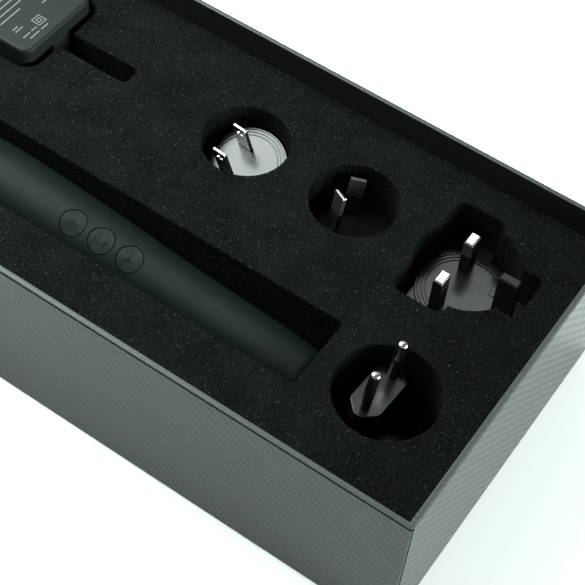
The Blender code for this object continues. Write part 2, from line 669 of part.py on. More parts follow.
def build_charger(mats):
    charger_shell("charger_face_shell", CHARGER_SPLIT + GAP, CHARGER_TOP, "top", mats)
    base = charger_shell("charger_base_shell", CHARGER_BOTTOM, CHARGER_SPLIT, "bottom", mats)
    half_usb, half_high = USB_WIDTH / 2, USB_HEIGHT / 2
    right = CHARGER_RIGHT_X
    usb_low = (right - USB_DEPTH, CHARGER_Y - half_usb, USB_Z - half_high)
    usb_high = (right - 0.2 * MM, CHARGER_Y + half_usb, USB_Z + half_high)
    window = box(Vector(usb_low) - Vector((0, GAP, GAP)), Vector(usb_high) + Vector((2 * MM, GAP, GAP)))
    boolean(base, add_object("cut_usb_window", window, None))
    socket = add_object("output_socket_shell", box(usb_low, usb_high), mats["nickel"])
    mouth = box(Vector(usb_low) + Vector((1 * MM, USB_WALL, USB_WALL)),
                Vector(usb_high) + Vector((1 * MM, -USB_WALL, -USB_WALL)))
    boolean(socket, add_object("cut_usb_mouth", mouth, None))
    tongue_high = USB_Z + half_high - USB_WALL - 0.9 * MM
    add_object("output_socket_tongue",
               box((right - USB_DEPTH + 1.3 * MM, CHARGER_Y - half_usb + 1.2 * MM, tongue_high - USB_TONGUE),
                   (right - 3 * MM, CHARGER_Y + half_usb - 1.2 * MM, tongue_high)), mats["white"])
    build_head_socket(mats, base)
    board_z = USB_Z + half_high + 0.8 * MM
    inset = CHARGER_WALL + 1 * MM
    add_object("charger_circuit_board",
               box((CHARGER_X - CHARGER_LENGTH / 2 + inset, CHARGER_Y - CHARGER_WIDTH / 2 + inset + 2 * MM, board_z),
                   (right - inset, CHARGER_Y + CHARGER_WIDTH / 2 - inset - 2 * MM, board_z + 1.6 * MM)), mats["pcb"])
    top = board_z + 1.6 * MM + GAP
    add_object("transformer", box((CHARGER_X - 2 * MM, CHARGER_Y - 8 * MM, top),
                                  (CHARGER_X + 14 * MM, CHARGER_Y + 8 * MM, top + 9 * MM)), mats["ferrite"])
    input_cap = moved(rod(0, 9 * MM, 5 * MM, 20, 0.5 * MM), (CHARGER_X - 20 * MM, CHARGER_Y + 6 * MM, top))
    add_object("input_capacitor", input_cap, mats["cell"], smooth=True)
    output_cap = moved(rod(0, 8 * MM, 4 * MM, 20, 0.5 * MM), (CHARGER_X + 22 * MM, CHARGER_Y - 8 * MM, top))
    add_object("output_capacitor", output_cap, mats["cell"], smooth=True)


def build_head_socket(mats, base):
    """Round well in the underside that takes a plug head's boss, its two contacts and the release slide."""
    centre_x = CHARGER_X - 10 * MM
    radius = BOSS_RADIUS + 0.5 * MM
    ceiling = CHARGER_BOTTOM + BOSS_DEPTH + 0.6 * MM
    cup = prism(circle(radius + CHARGER_WALL, 32, (centre_x, CHARGER_Y)), CHARGER_BOTTOM + 0.5 * MM,
                ceiling + CHARGER_WALL)
    boolean(base, add_object("join_head_cup", cup, None), "UNION")
    well = cutter("cut_head_well", circle(radius, 32, (centre_x, CHARGER_Y)), CHARGER_BOTTOM - 1 * MM, ceiling)
    boolean(base, well)
    for name, side in (("near_contact", -1), ("far_contact", 1)):
        y = CHARGER_Y + side * US_SPACING / 2
        low = (centre_x + PIN_OFFSET - 3 * MM, y - 1.2 * MM, ceiling - 0.7 * MM)
        high = (centre_x + PIN_OFFSET + 3 * MM, y + 1.2 * MM, ceiling - GAP)
        add_object(name, box(low, high), mats["copper"])
    latch_left = centre_x + radius + CHARGER_WALL + 1.5 * MM
    window = box((latch_left - GAP, CHARGER_Y - LATCH_WIDTH / 2 - GAP, CHARGER_BOTTOM - 1 * MM),
                 (latch_left + LATCH_LENGTH + LATCH_TRAVEL + GAP, CHARGER_Y + LATCH_WIDTH / 2 + GAP,
                  CHARGER_BOTTOM + CHARGER_WALL + 1 * MM))
    boolean(base, add_object("cut_latch_window", window, None))
    latch = box((latch_left, CHARGER_Y - LATCH_WIDTH / 2, CHARGER_BOTTOM + 0.2 * MM),
                (latch_left + LATCH_LENGTH, CHARGER_Y + LATCH_WIDTH / 2, CHARGER_BOTTOM + 0.2 * MM + LATCH_DEPTH))
    add_object("head_release_latch", latch, mats["gloss"])


# ---------------------------------------------------------------- plug heads

HEADS = {
    "us": {"centre": (33.1 * MM, 34.6 * MM), "pocket": (32.8 * MM, 34.8 * MM), "tilt": (17, 0), "yaw": -4.3,
           "lift": 1.8 * MM},
    "au": {"centre": (83.2 * MM, 35.6 * MM), "pocket": (83.4 * MM, 35.4 * MM), "tilt": (-15, 0), "yaw": 0,
           "lift": 0},
    "uk": {"centre": (134.4 * MM, 35.3 * MM), "pocket": (134.4 * MM, 35.3 * MM), "tilt": (0, 0), "yaw": 0,
           "lift": 0},
    "eu": {"centre": (139.0 * MM, -28.8 * MM), "pocket": (140.2 * MM, -30.2 * MM), "tilt": (-7, 3), "yaw": -1,
           "lift": 0},
}


def head_axis(key, floor, depth):
    """An empty at the middle of the head's disc, low enough for the boss to stand on the pocket's floor."""
    head = HEADS[key]
    tilt_x, tilt_y = (math.radians(angle) for angle in head["tilt"])
    lean = math.hypot(tilt_x, tilt_y)
    height = floor + GAP + depth * math.cos(lean) + BOSS_RADIUS * math.sin(lean) + head["lift"]
    return empty(f"{key}_plug_axis", (*head["centre"], height), (tilt_x, tilt_y, math.radians(head["yaw"])))


def round_head(name, mats, axis):
    profile = [
        (-HEAD_DEPTH, BOSS_RADIUS - 0.4 * MM),
        (-HEAD_DEPTH + 0.4 * MM, BOSS_RADIUS),
        (-FLANGE_THICKNESS, BOSS_RADIUS),
        (-FLANGE_THICKNESS, FLANGE_RADIUS),
        (-RING_STEP, FLANGE_RADIUS),
        (-RING_STEP, RING_RADIUS),
        (0, RING_RADIUS),
    ]
    return add_object(name, lathe(profile, 36), mats["gloss"], axis, smooth=True)


def blade(name, size, place, angle, mats, axis, body):
    """A flat pin through the head: its slot in the body and the pin itself."""
    width, thickness, length = size
    for grow, kind in ((GAP, "cut"), (0, "pin")):
        half = (width / 2 + grow, thickness / 2 + grow)
        low = -PIN_TAIL if kind == "pin" else -PIN_TAIL - 5 * MM
        bm = box((-half[0], -half[1], low), (half[0], half[1], length if kind == "pin" else 5 * MM))
        if kind == "pin":
            tip = [edge for edge in bm.edges if all(vert.co.z > length - 1e-6 for vert in edge.verts)]
            bmesh.ops.bevel(bm, geom=tip, offset=0.5 * MM, segments=2, profile=0.5, affect="EDGES", material=-1)
        bmesh.ops.rotate(bm, matrix=Matrix.Rotation(angle, 3, "Z"), verts=bm.verts)
        moved(bm, (*place, 0))
        if kind == "pin":
            return add_object(name, bm, mats["nickel"], axis)
        boolean(body, add_object(f"cut_{name}", bm, None, axis))


def build_us_head(mats):
    axis = head_axis("us", POCKET_FLOOR, HEAD_DEPTH)
    body = round_head("us_plug_body", mats, axis)
    for name, side in (("us_near_blade", -1), ("us_far_blade", 1)):
        pin = blade(name, US_BLADE, (PIN_OFFSET, side * US_SPACING / 2), 0, mats, axis, body)
        hole = lathe([(-3 * MM, 1.5 * MM), (3 * MM, 1.5 * MM)], 16)
        bmesh.ops.rotate(hole, matrix=Matrix.Rotation(math.radians(90), 3, "X"), verts=hole.verts)
        moved(hole, (PIN_OFFSET, side * US_SPACING / 2, US_BLADE[2] - 4 * MM))
        boolean(pin, add_object(f"cut_{name}_hole", hole, None, axis))


def build_au_head(mats):
    axis = head_axis("au", POCKET_FLOOR, HEAD_DEPTH)
    body = round_head("au_plug_body", mats, axis)
    for name, side in (("au_near_blade", -1), ("au_far_blade", 1)):
        blade(name, AU_BLADE, (PIN_OFFSET, side * AU_SPACING / 2), side * AU_ANGLE, mats, axis, body)


def build_uk_head(mats):
    depth = HEAD_DEPTH + UK_EXTRA_DEPTH
    axis = head_axis("uk", POCKET_FLOOR, depth)
    disc_x, disc_y = HEADS["uk"]["centre"]
    boss = lathe([(-depth, BOSS_RADIUS - 0.4 * MM), (-depth + 0.4 * MM, BOSS_RADIUS), (-1 * MM, BOSS_RADIUS)], 36)
    body = add_object("uk_plug_body", boss, mats["gloss"], axis)
    for index, outline in enumerate(uk_pieces(0)):
        local = [(x - disc_x, y - disc_y) for x, y in outline]
        boolean(body, add_object(f"join_uk_{index}", prism(local, -FLANGE_THICKNESS, 0), None, axis), "UNION")
    thick, wide, length = UK_PIN
    earth_x = PIN_OFFSET + UK_SPACING
    pins = [
        ("uk_near_pin", (PIN_OFFSET, -UK_SPACING / 2), UK_PIN, "nickel"),
        ("uk_far_pin", (PIN_OFFSET, UK_SPACING / 2), UK_PIN, "nickel"),
        ("uk_earth_pin", (earth_x, 0), UK_EARTH, "sleeve"),
    ]
    for name, (x, y), (size_x, size_y, reach), finish in pins:
        # The live pins carry a moulded sleeve, so their metal is a size thinner up to the sleeve's top.
        sleeved = finish == "nickel"
        neck = 0.7 * MM if sleeved else 0
        core = box((x - size_x / 2 + neck, y - size_y / 2 + neck, -3 * MM),
                   (x + size_x / 2 - neck, y + size_y / 2 - neck, reach))
        if sleeved:
            pin = add_object(name, core, mats[finish], axis)
            head = box((x - size_x / 2, y - size_y / 2, UK_SLEEVE + GAP), (x + size_x / 2, y + size_y / 2, reach))
            chamfer_tip(head, reach)
            boolean(pin, add_object(f"join_{name}", head, None, axis), "UNION")
            sleeve = box((x - size_x / 2, y - size_y / 2, GAP), (x + size_x / 2, y + size_y / 2, UK_SLEEVE))
            cover = add_object(f"{name}_sleeve", sleeve, mats["sleeve"], axis)
            boolean(cover, add_object(f"cut_{name}_bore",
                                      box((x - size_x / 2 + neck - GAP, y - size_y / 2 + neck - GAP, -1 * MM),
                                          (x + size_x / 2 - neck + GAP, y + size_y / 2 - neck + GAP, 20 * MM)),
                                      None, axis))
        else:
            chamfer_tip(core, reach)
            pin = add_object(name, core, mats[finish], axis)
        pocket = box((x - size_x / 2 + neck - GAP, y - size_y / 2 + neck - GAP, -3 * MM - GAP),
                     (x + size_x / 2 - neck + GAP, y + size_y / 2 - neck + GAP, 5 * MM))
        boolean(body, add_object(f"cut_{name}", pocket, None, axis))


def chamfer_tip(bm, height):
    tip = [edge for edge in bm.edges if all(vert.co.z > height - 1e-6 for vert in edge.verts)]
    bmesh.ops.bevel(bm, geom=tip, offset=0.6 * MM, segments=1, profile=0.5, affect="EDGES", material=-1)


def build_eu_head(mats):
    axis = head_axis("eu", POCKET_FLOOR - EU_WELL_DEPTH, HEAD_DEPTH)
    body = round_head("eu_plug_body", mats, axis)
    width, length, height = EU_TOWER
    shoulder = EU_TOWER_SHOULDER / 2
    outline = [
        (width / 2, -shoulder), (width / 2, shoulder), (1.5 * MM, length / 2), (-1.5 * MM, length / 2),
        (-width / 2, shoulder), (-width / 2, -shoulder), (-1.5 * MM, -length / 2), (1.5 * MM, -length / 2),
    ]
    outline = [(x + PIN_OFFSET, y) for x, y in outline]
    boolean(body, add_object("join_eu_tower", prism(outline, -1 * MM, height), None, axis), "UNION")
    for name, side in (("eu_near_pin", -1), ("eu_far_pin", 1)):
        base_y, tip_y = side * EU_BASE_SPACING / 2, side * EU_TIP_SPACING / 2
        lean = math.atan2(base_y - tip_y, EU_PIN_LENGTH)
        place = empty(f"{name}_axis", (PIN_OFFSET, base_y, height), (lean, 0, 0), axis)
        radius = EU_PIN_RADIUS
        core = radius - 0.6 * MM
        profile = [(-6 * MM, core), (EU_SLEEVE + GAP, core), (EU_SLEEVE + GAP, radius)]
        for step in range(4):
            angle = math.radians(90 * step / 4)
            profile.append((EU_PIN_LENGTH - radius * 0.8 * (1 - math.sin(angle)), radius * math.cos(angle)))
        add_object(name, lathe(profile, 20), mats["nickel"], place, smooth=True)
        add_object(f"{name}_sleeve", tube(GAP, EU_SLEEVE, radius, core + GAP * 0.8, 20), mats["sleeve"], place,
                   smooth=True)
        hole = lathe([(-6 * MM - GAP, core + GAP), (5 * MM, core + GAP)], 20)
        boolean(body, add_object(f"cut_{name}", hole, None, place))


def main():
    clear_scene()
    mats = make_materials()
    build_case(mats)
    build_foam(mats)
    build_toothbrush(mats)
    build_charger(mats)
    build_us_head(mats)
    build_au_head(mats)
    build_uk_head(mats)
    build_eu_head(mats)


main()
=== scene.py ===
"""An electric toothbrush set in its presentation case: the looks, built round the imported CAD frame.

Each section below makes one piece or group of like pieces. Shapes are modelled in millimetres in the place
where they belong, and become metres when they are kept.
"""

import json
import math
import random

import bmesh
import bpy
from mathutils import Euler, Matrix, Vector


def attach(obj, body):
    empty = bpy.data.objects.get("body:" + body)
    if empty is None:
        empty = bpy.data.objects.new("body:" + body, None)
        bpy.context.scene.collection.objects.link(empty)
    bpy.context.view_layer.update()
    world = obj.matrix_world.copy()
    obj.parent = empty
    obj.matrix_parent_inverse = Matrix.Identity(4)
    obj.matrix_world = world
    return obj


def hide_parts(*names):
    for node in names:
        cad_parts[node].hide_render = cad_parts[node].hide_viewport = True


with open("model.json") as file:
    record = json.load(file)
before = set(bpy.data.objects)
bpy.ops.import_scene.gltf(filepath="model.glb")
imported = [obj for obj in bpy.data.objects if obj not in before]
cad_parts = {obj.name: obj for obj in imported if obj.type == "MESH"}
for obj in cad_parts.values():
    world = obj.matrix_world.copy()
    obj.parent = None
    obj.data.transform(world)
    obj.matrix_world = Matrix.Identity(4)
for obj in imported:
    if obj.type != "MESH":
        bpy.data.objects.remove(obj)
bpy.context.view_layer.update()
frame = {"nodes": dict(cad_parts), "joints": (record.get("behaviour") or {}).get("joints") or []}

# ---------------------------------------------------------------- camera
# A long lens looks down on the right-hand part of the case, so the left end runs out of view.

CAMERA_PLACE = Vector((0.25924, -0.31004, 0.53348))
CAMERA_BACK = Vector((0.2941, -0.5103, 0.8082))
CAMERA_ROLL = math.radians(5.69)
FOCAL_LENGTH = 97.49

camera = bpy.data.objects.new("camera", bpy.data.cameras.new("camera"))
camera.data.lens = FOCAL_LENGTH
camera_turn = CAMERA_BACK.to_track_quat("Z", "Y").to_matrix().to_4x4()
camera.matrix_world = Matrix.Translation(CAMERA_PLACE) @ camera_turn @ Matrix.Rotation(CAMERA_ROLL, 4, "Z")
bpy.context.scene.collection.objects.link(camera)
bpy.context.scene.camera = camera
bpy.context.scene.view_settings.view_transform = "Standard"  # so that the pale floor comes out pale

# ---------------------------------------------------------------- presentation case
# Rigid greyboard, 2 mm thick, wrapped in a satin paper printed like woven carbon. The paper is turned in over
# the rim and creased beside each corner, and the inside is lined with plain black paper.

CASE = (356.0, 154.0, 78.0)
CASE_CORNER = 0.7
BOARD = 2.0
FOOT_BAND = 0.5  # height of the lowest ring of the wrap
RIM_FOLD = [(0.35, 0.0), (0.1, 0.12), (0.0, 0.4)]  # how far below the top and how far in the paper turns
LINING_FILLET = 0.2
CREASE_BELOW_RIM = 0.7
CREASE_WIDTH = 1.1
CREASE_DEPTH = 0.4
SEAM_FROM_CORNER = 0.8
SEAM_RIM = 0.01  # a sliver that keeps the walls of the end seams upright
SLACK = 0.05  # for telling one face from another by its place
TOW = 1.3  # width of one printed strand of the weave
STRAND_FALL = 0.9  # how fast a strand darkens towards its edges
UPRIGHT_STRAND = 0.72  # tone of an upright strand, where a level one is 1
MM = 0.001


class Socket:
    """An output of a node. Python's operators on it add Math nodes to the same finish."""

    def __init__(self, finish, output):
        self.finish = finish
        self.output = output

    def maths(self, operation, *others):
        inputs = dict(enumerate((self, *others)))
        return self.finish.node("Math", {"operation": operation}, inputs)

    def __add__(self, other):
        return self.maths("ADD", other)

    def __mul__(self, other):
        return self.maths("MULTIPLY", other)

    def __sub__(self, other):
        return self.maths("SUBTRACT", other)

    def __rsub__(self, other):
        return self.finish.node("Math", {"operation": "SUBTRACT"}, {0: other, 1: self})

    def __lt__(self, other):
        return self.maths("LESS_THAN", other)

    def __gt__(self, other):
        return self.maths("GREATER_THAN", other)

    def __mod__(self, other):
        return self.maths("FLOORED_MODULO", other)

    __radd__ = __add__
    __rmul__ = __mul__


class Finish:
    """One material: a Principled shader with its constants, and the nodes that vary it over the surface."""

    def __init__(self, name, colour, roughness, constants=()):
        self.material = bpy.data.materials.new(name)
        self.material.use_nodes = True
        self.tree = self.material.node_tree
        self.shader = self.tree.nodes["Principled BSDF"].inputs
        self.shader["Base Color"].default_value = (*colour, 1)
        self.shader["Roughness"].default_value = roughness
        for socket, value in dict(constants).items():
            self.shader[socket].default_value = value

    def node(self, kind, settings=(), inputs=(), output=0):
        node = self.tree.nodes.new("ShaderNode" + kind)
        for setting, value in dict(settings).items():
            setattr(node, setting, value)
        for key, value in dict(inputs).items():
            self.feed(node.inputs[key], value)
        return Socket(self, node.outputs[output])

    def feed(self, target, value):
        if isinstance(value, Socket):
            self.tree.links.new(value.output, target)
        else:
            target.default_value = value

    def place(self):
        """Where a point of the surface is, in the frame of the object."""
        return self.node("TexCoord", output="Object")

    def noise(self, size, detail=2.0, where=None):
        """Cloudy noise whose patches are about this many millimetres across."""
        where = where or self.place()
        return self.node("TexNoise", {}, {"Vector": where, "Scale": 1 / (size * MM), "Detail": detail})

    def cells(self, size, output="Distance"):
        """Round cells that are about this many millimetres across."""
        inputs = {"Vector": self.place(), "Scale": 1 / (size * MM)}
        return self.node("TexVoronoi", {}, inputs, output)

    def mix(self, mask, low, high):
        """Blends two colours by a mask from 0 to 1."""
        low, high = [(*colour, 1) if isinstance(colour, tuple) else colour for colour in (low, high)]
        return self.node("Mix", {"data_type": "RGBA"}, {0: mask, 6: low, 7: high}, 2)

    def between(self, mask, low, high):
        """Spreads a mask from 0 to 1 over two numbers."""
        return mask * (high - low) + low

    def colour(self, value):
        self.feed(self.shader["Base Color"], value)

    def rough(self, value):
        self.feed(self.shader["Roughness"], value)

    def relief(self, height, depth, strength=1.0):
        """Bumps this many millimetres deep."""
        inputs = {"Height": height, "Distance": depth * MM, "Strength": strength}
        self.feed(self.shader["Normal"], self.node("Bump", {}, inputs))


def keep(bm, name, body, finishes, stands_for, place=Matrix.Identity(4), sharp=30):
    """Makes a piece of a finished shape in millimetres, and hands it to the frame."""
    bmesh.ops.remove_doubles(bm, verts=bm.verts, dist=0.001)
    bmesh.ops.recalc_face_normals(bm, faces=bm.faces)
    bmesh.ops.transform(bm, matrix=Matrix.Scale(MM, 4) @ place, verts=bm.verts)
    mesh = bpy.data.meshes.new(name)
    bm.to_mesh(mesh)
    bm.free()
    mesh.shade_smooth()
    mesh.set_sharp_from_angle(angle=math.radians(sharp))
    for finish in finishes:
        mesh.materials.append(finish.material)
    obj = bpy.data.objects.new(name, mesh)
    bpy.context.collection.objects.link(obj)
    obj.modifiers.new("flat faces stay flat", "WEIGHTED_NORMAL").keep_sharp = True
    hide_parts(*stands_for)
    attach(obj, body)
    return obj


def slab(size, radius=0.0, corner_steps=6):
    """A flat face of this size about the middle, with round corners."""
    bm = bmesh.new()
    bmesh.ops.create_grid(bm, x_segments=1, y_segments=1, size=0.5)
    bmesh.ops.scale(bm, vec=(size[0], size[1], 1), verts=bm.verts)
    if radius:
        bmesh.ops.bevel(bm, geom=list(bm.verts), offset=radius, segments=corner_steps, profile=0.5,
                        affect="VERTICES", material=-1)
    return bm, list(bm.faces)[0]


def build_up(bm, face, size, steps):
    """Grows a solid from a flat face. Each step is a height and how far the outline draws in there."""
    height, drawn = 0.0, 0.0
    for index, (next_height, next_drawn) in enumerate(steps):
        grown = bmesh.ops.extrude_face_region(bm, geom=[face])["geom"]
        if index:
            bmesh.ops.delete(bm, geom=[face], context="FACES_ONLY")
        face = next(item for item in grown if isinstance(item, bmesh.types.BMFace))
        factors = [(side - 2 * next_drawn) / (side - 2 * drawn) for side in size[:2]]
        bmesh.ops.scale(bm, vec=(*factors, 1), verts=face.verts)
        bmesh.ops.translate(bm, vec=(0, 0, next_height - height), verts=face.verts)
        height, drawn = next_height, next_drawn


def at(x=0.0, y=0.0, z=0.0):
    """A move by this many millimetres."""
    return Matrix.Translation((x, y, z))


wrap = Finish("woven_print_paper", (0.05, 0.06, 0.055), 0.35, {"Specular IOR Level": 0.13})
weave = wrap.node("UVMap", {"uv_map": "weave"})
along, up = (wrap.node("SeparateXYZ", {}, {0: weave}, axis) for axis in ("X", "Y"))
lying = ((along.maths("FLOOR") + up.maths("FLOOR")) % 4) < 2
strand_along = (along % 1 - 0.5).maths("ABSOLUTE") * -STRAND_FALL + 1
strand_up = (up % 1 - 0.5).maths("ABSOLUTE") * -STRAND_FALL + UPRIGHT_STRAND
weave_height = lying * strand_along + (1 - lying) * strand_up
mottle = wrap.noise(9.0, 3.0)
weave_tone = weave_height * 0.85 + mottle * 0.3 - 0.1
wrap.colour(wrap.mix(weave_tone, (0.004, 0.007, 0.006), (0.036, 0.044, 0.040)))
wrap.rough(wrap.between(weave_height, 0.42, 0.28))
wrap.relief(weave_height + mottle * 0.4, 0.03, 0.5)

crease = Finish("crease_shadow_paper", (0.01, 0.012, 0.011), 0.8, {"Specular IOR Level": 0.05})
crease.colour(crease.mix(crease.noise(2.0), (0.003, 0.004, 0.0035), (0.009, 0.011, 0.010)))
rim_paper = Finish("turned_in_paper", (0.03, 0.034, 0.032), 0.45, {"Specular IOR Level": 0.3})
rim_paper.colour(rim_paper.mix(rim_paper.noise(1.2, 4.0), (0.012, 0.015, 0.0135), (0.050, 0.056, 0.052)))
rim_paper.relief(rim_paper.noise(0.8), 0.04)
lining = Finish("black_lining_paper", (0.004, 0.005, 0.0045), 0.7, {"Specular IOR Level": 0.12})
lining.colour(lining.mix(lining.noise(0.7, 4.0), (0.0022, 0.003, 0.0025), (0.0062, 0.0075, 0.0066)))
lining.relief(lining.noise(0.4), 0.03)



def within(point, inset):
    """Whether a point stands inside the outline of the case, drawn in this far."""
    return all(abs(point[axis]) < CASE[axis] / 2 - inset for axis in (0, 1))


def is_end_seam(face):
    """Whether a face of either end lies between the two edges of a seam and under the crease."""
    middle = face.calc_center_median()
    return (abs(face.normal.x) > 0.9 and abs(middle.x) > CASE[0] / 2 - 2 * SLACK
            and abs(abs(middle.y) - seam_line) < 2 * SLACK and middle.z < crease_bottom)


crease_top = CASE[2] - CREASE_BELOW_RIM
crease_bottom = crease_top - CREASE_WIDTH
seam_line = CASE[1] / 2 - SEAM_FROM_CORNER - CREASE_WIDTH / 2
outer_rim = [(CASE[2] - below, drawn) for below, drawn in RIM_FOLD]
inner_rim = [(height, BOARD - drawn) for height, drawn in reversed(outer_rim)]
bm, floor_face = slab(CASE, CASE_CORNER, 4)
build_up(bm, floor_face, CASE, [
    (FOOT_BAND, 0.0),
    (crease_bottom, 0.0),
    (crease_bottom, CREASE_DEPTH),
    (crease_top, CREASE_DEPTH),
    (crease_top, 0.0),
    *outer_rim,
    *inner_rim,
    (BOARD + LINING_FILLET, BOARD),
    (BOARD, BOARD + LINING_FILLET),
])
for side in (-1, 1):
    for edge in (SEAM_FROM_CORNER, SEAM_FROM_CORNER + CREASE_WIDTH):
        bmesh.ops.bisect_plane(bm, geom=list(bm.verts) + list(bm.edges) + list(bm.faces),
                               plane_co=(0, side * (CASE[1] / 2 - edge), 0), plane_no=(0, 1, 0))
seams = [face for face in bm.faces if is_end_seam(face)]
bmesh.ops.inset_region(bm, faces=seams, thickness=SEAM_RIM, depth=-CREASE_DEPTH)
weave_map = bm.loops.layers.uv.new("weave")
bm.normal_update()
case_finishes = [wrap, lining, crease, rim_paper]
for face in bm.faces:
    middle, normal = face.calc_center_median(), face.normal
    in_crease = within(middle, 2 * SLACK) and crease_bottom - SLACK < middle.z < crease_top + SLACK
    if within(middle, BOARD - SLACK) and middle.z > FOOT_BAND:
        face.material_index = case_finishes.index(lining)
    elif face in seams or in_crease:
        face.material_index = case_finishes.index(crease)
    elif middle.z > crease_top:
        face.material_index = case_finishes.index(rim_paper)
    for loop in face.loops:
        x, y, z = loop.vert.co
        across = y if abs(normal.x) > 0.7 else x
        rise = y if abs(normal.z) > 0.7 else z
        loop[weave_map].uv = (across / TOW, rise / TOW)
keep(bm, "presentation_case", "case", case_finishes,
     ["case_base_board", "near_side_board", "far_side_board", "left_end_board", "right_end_board"])

# ---------------------------------------------------------------- foam insert
# Two layers of black polyether foam. The upper one is die-cut right through for each piece of the set, so its
# edges are slightly crushed, and open cells show all over it as pits. Its bright specks are painted glints.

CRUSHED_EDGE = 0.7
CUT_ANGLE = 1  # in radians, past which two faces meet at a cut

foam = Finish("black_open_cell_foam", (0.005, 0.006, 0.0055), 0.95, {"Specular IOR Level": 0.02})
pits = foam.cells(0.75)
pores = foam.noise(0.9, 4.0)
clouds = foam.noise(14.0, 2.0)
body_mask = pores * 1.4 + clouds * 0.6 - 0.5
body_tone = foam.mix(body_mask, (0.0006, 0.0009, 0.0007), (0.0070, 0.0084, 0.0072))
# Painted glints: bright specks of light caught on cell edges, strong ones and faint ones, mixed into the
# colour.
glint_cell = foam.node("SeparateColor", {}, {0: foam.cells(0.95, "Color")}, "Red")
painted_glint = (glint_cell > 0.90) * (foam.cells(0.95) < 0.2)
faint_glint_cell = foam.node("SeparateColor", {}, {0: foam.cells(0.6, "Color")}, "Green")
faint_painted_glint = (faint_glint_cell > 0.86) * (foam.cells(0.6) < 0.26)
foam.colour(foam.mix(painted_glint * 0.9 + faint_painted_glint * 0.45, body_tone, (0.050, 0.056, 0.052)))
foam.relief(pits + pores * 0.6, 0.35, 0.9)


def cad_copy(node):
    """A merged copy of a CAD node's mesh, in millimetres."""
    bm = bmesh.new()
    bm.from_mesh(frame["nodes"][node].data)
    bmesh.ops.scale(bm, vec=(1 / MM, 1 / MM, 1 / MM), verts=bm.verts)
    bmesh.ops.remove_doubles(bm, verts=bm.verts, dist=0.001)
    bmesh.ops.dissolve_limit(bm, angle_limit=math.radians(0.5), verts=bm.verts, edges=bm.edges)
    return bm


for layer in ("upper", "lower"):
    bm = cad_copy(f"foam_{layer}_layer")
    top = max(vert.co.z for vert in bm.verts)
    cut_edges = [edge for edge in bm.edges if len(edge.link_faces) == 2
                 and edge.calc_face_angle(0) > CUT_ANGLE and all(vert.co.z > top - 0.01 for vert in edge.verts)]
    bmesh.ops.bevel(bm, geom=cut_edges, offset=CRUSHED_EDGE, segments=3, profile=0.5, affect="EDGES",
                    material=-1)
    pad = keep(bm, f"foam_insert_{layer}", "case", [foam], [f"foam_{layer}_layer"])

# ---------------------------------------------------------------- toothbrush handle
# The grip is a skin of matte silicone moulded over a hard housing, slim at the tail and fullest ahead of the
# buttons. It lies tail down in the slot, so everything here is turned to the axis of the drive.

GRIP = [  # from the tail, radius
    (6.0, 11.4),
    (14.0, 12.1),
    (30.0, 12.6),
    (50.0, 12.9),
    (70.0, 13.5),
    (86.0, 14.2),
    (104.0, 14.9),
    (124.0, 15.4),
    (142.0, 15.6),
    (156.0, 15.4),
    (170.0, 14.4),
    (182.0, 12.3),
    (190.0, 10.2),
]
TAIL_X = 110.5
TAIL_CAP = 6.0
TAIL_ROUND = 4.5
SKIN = 1.2
CAP_JOINT = 0.01
GRIP_RINGS = 110
TURN_STEPS = 96

joints = {joint["name"]: joint for joint in frame["joints"]}
drive_joint = joints["drive_oscillation"]
head_to_tail = Vector(drive_joint["axis"]).normalized()
button_out = -Vector(joints["power_button_press"]["axis"]).normalized()
across_brush = button_out.cross(head_to_tail).normalized()
drive_point = Vector(drive_joint["pos_m"]) / MM
brush_middle = drive_point - head_to_tail * (drive_point.x / head_to_tail.x)
brush_place = Matrix.Translation(brush_middle) @ Matrix(
    (head_to_tail, across_brush, button_out)).transposed().to_4x4()


def grip_radius(from_tail):
    """Radius of the grip on a smooth curve through GRIP."""
    if from_tail <= GRIP[0][0]:
        return GRIP[0][1]
    index = min(sum(from_tail > place for place, _ in GRIP[1:]), len(GRIP) - 2)
    (start, low), (end, high) = GRIP[index], GRIP[index + 1]
    before, after = GRIP[max(index - 1, 0)], GRIP[min(index + 2, len(GRIP) - 1)]
    span = end - start
    slope_in = (high - before[1]) / (end - before[0]) * span
    slope_out = (after[1] - low) / (after[0] - start) * span
    t = min((from_tail - start) / span, 1.0)
    return ((2 * t**3 - 3 * t**2 + 1) * low + (t**3 - 2 * t**2 + t) * slope_in
            + (3 * t**2 - 2 * t**3) * high + (t**3 - t**2) * slope_out)


def turned(profile, steps=TURN_STEPS, closed=False):
    """Spins (x, radius) points round the X axis. A closed profile makes a shell, an open one starts or ends on
    the axis or leaves a hole that is then filled."""
    bm = bmesh.new()
    verts = [bm.verts.new((x, 0, radius)) for x, radius in profile]
    pairs = list(zip(verts, verts[1:])) + ([(verts[-1], verts[0])] if closed else [])
    edges = [bm.edges.new(pair) for pair in pairs]
    bmesh.ops.spin(bm, geom=verts + edges, axis=(1, 0, 0), cent=(0, 0, 0), angle=math.tau,
                   steps=steps, use_merge=True)
    bmesh.ops.remove_doubles(bm, verts=bm.verts, dist=0.0005)
    bmesh.ops.holes_fill(bm, edges=[edge for edge in bm.edges if edge.is_boundary])
    return bm


def combine(bm, tool, operation="DIFFERENCE"):
    """Cuts a tool out of a shape, or joins it on."""
    blanks = []
    for shape in (bm, tool):
        bmesh.ops.recalc_face_normals(shape, faces=shape.faces)
        mesh = bpy.data.meshes.new("blank")
        shape.to_mesh(mesh)
        shape.free()
        blanks.append(bpy.data.objects.new("blank", mesh))
        bpy.context.collection.objects.link(blanks[-1])
    modifier = blanks[0].modifiers.new("combine", "BOOLEAN")
    modifier.operation = operation
    modifier.solver = "EXACT"
    modifier.object = blanks[1]
    made = bmesh.new()
    made.from_mesh(blanks[0].evaluated_get(bpy.context.evaluated_depsgraph_get()).to_mesh())
    for blank in blanks:
        bpy.data.objects.remove(blank)
    return made


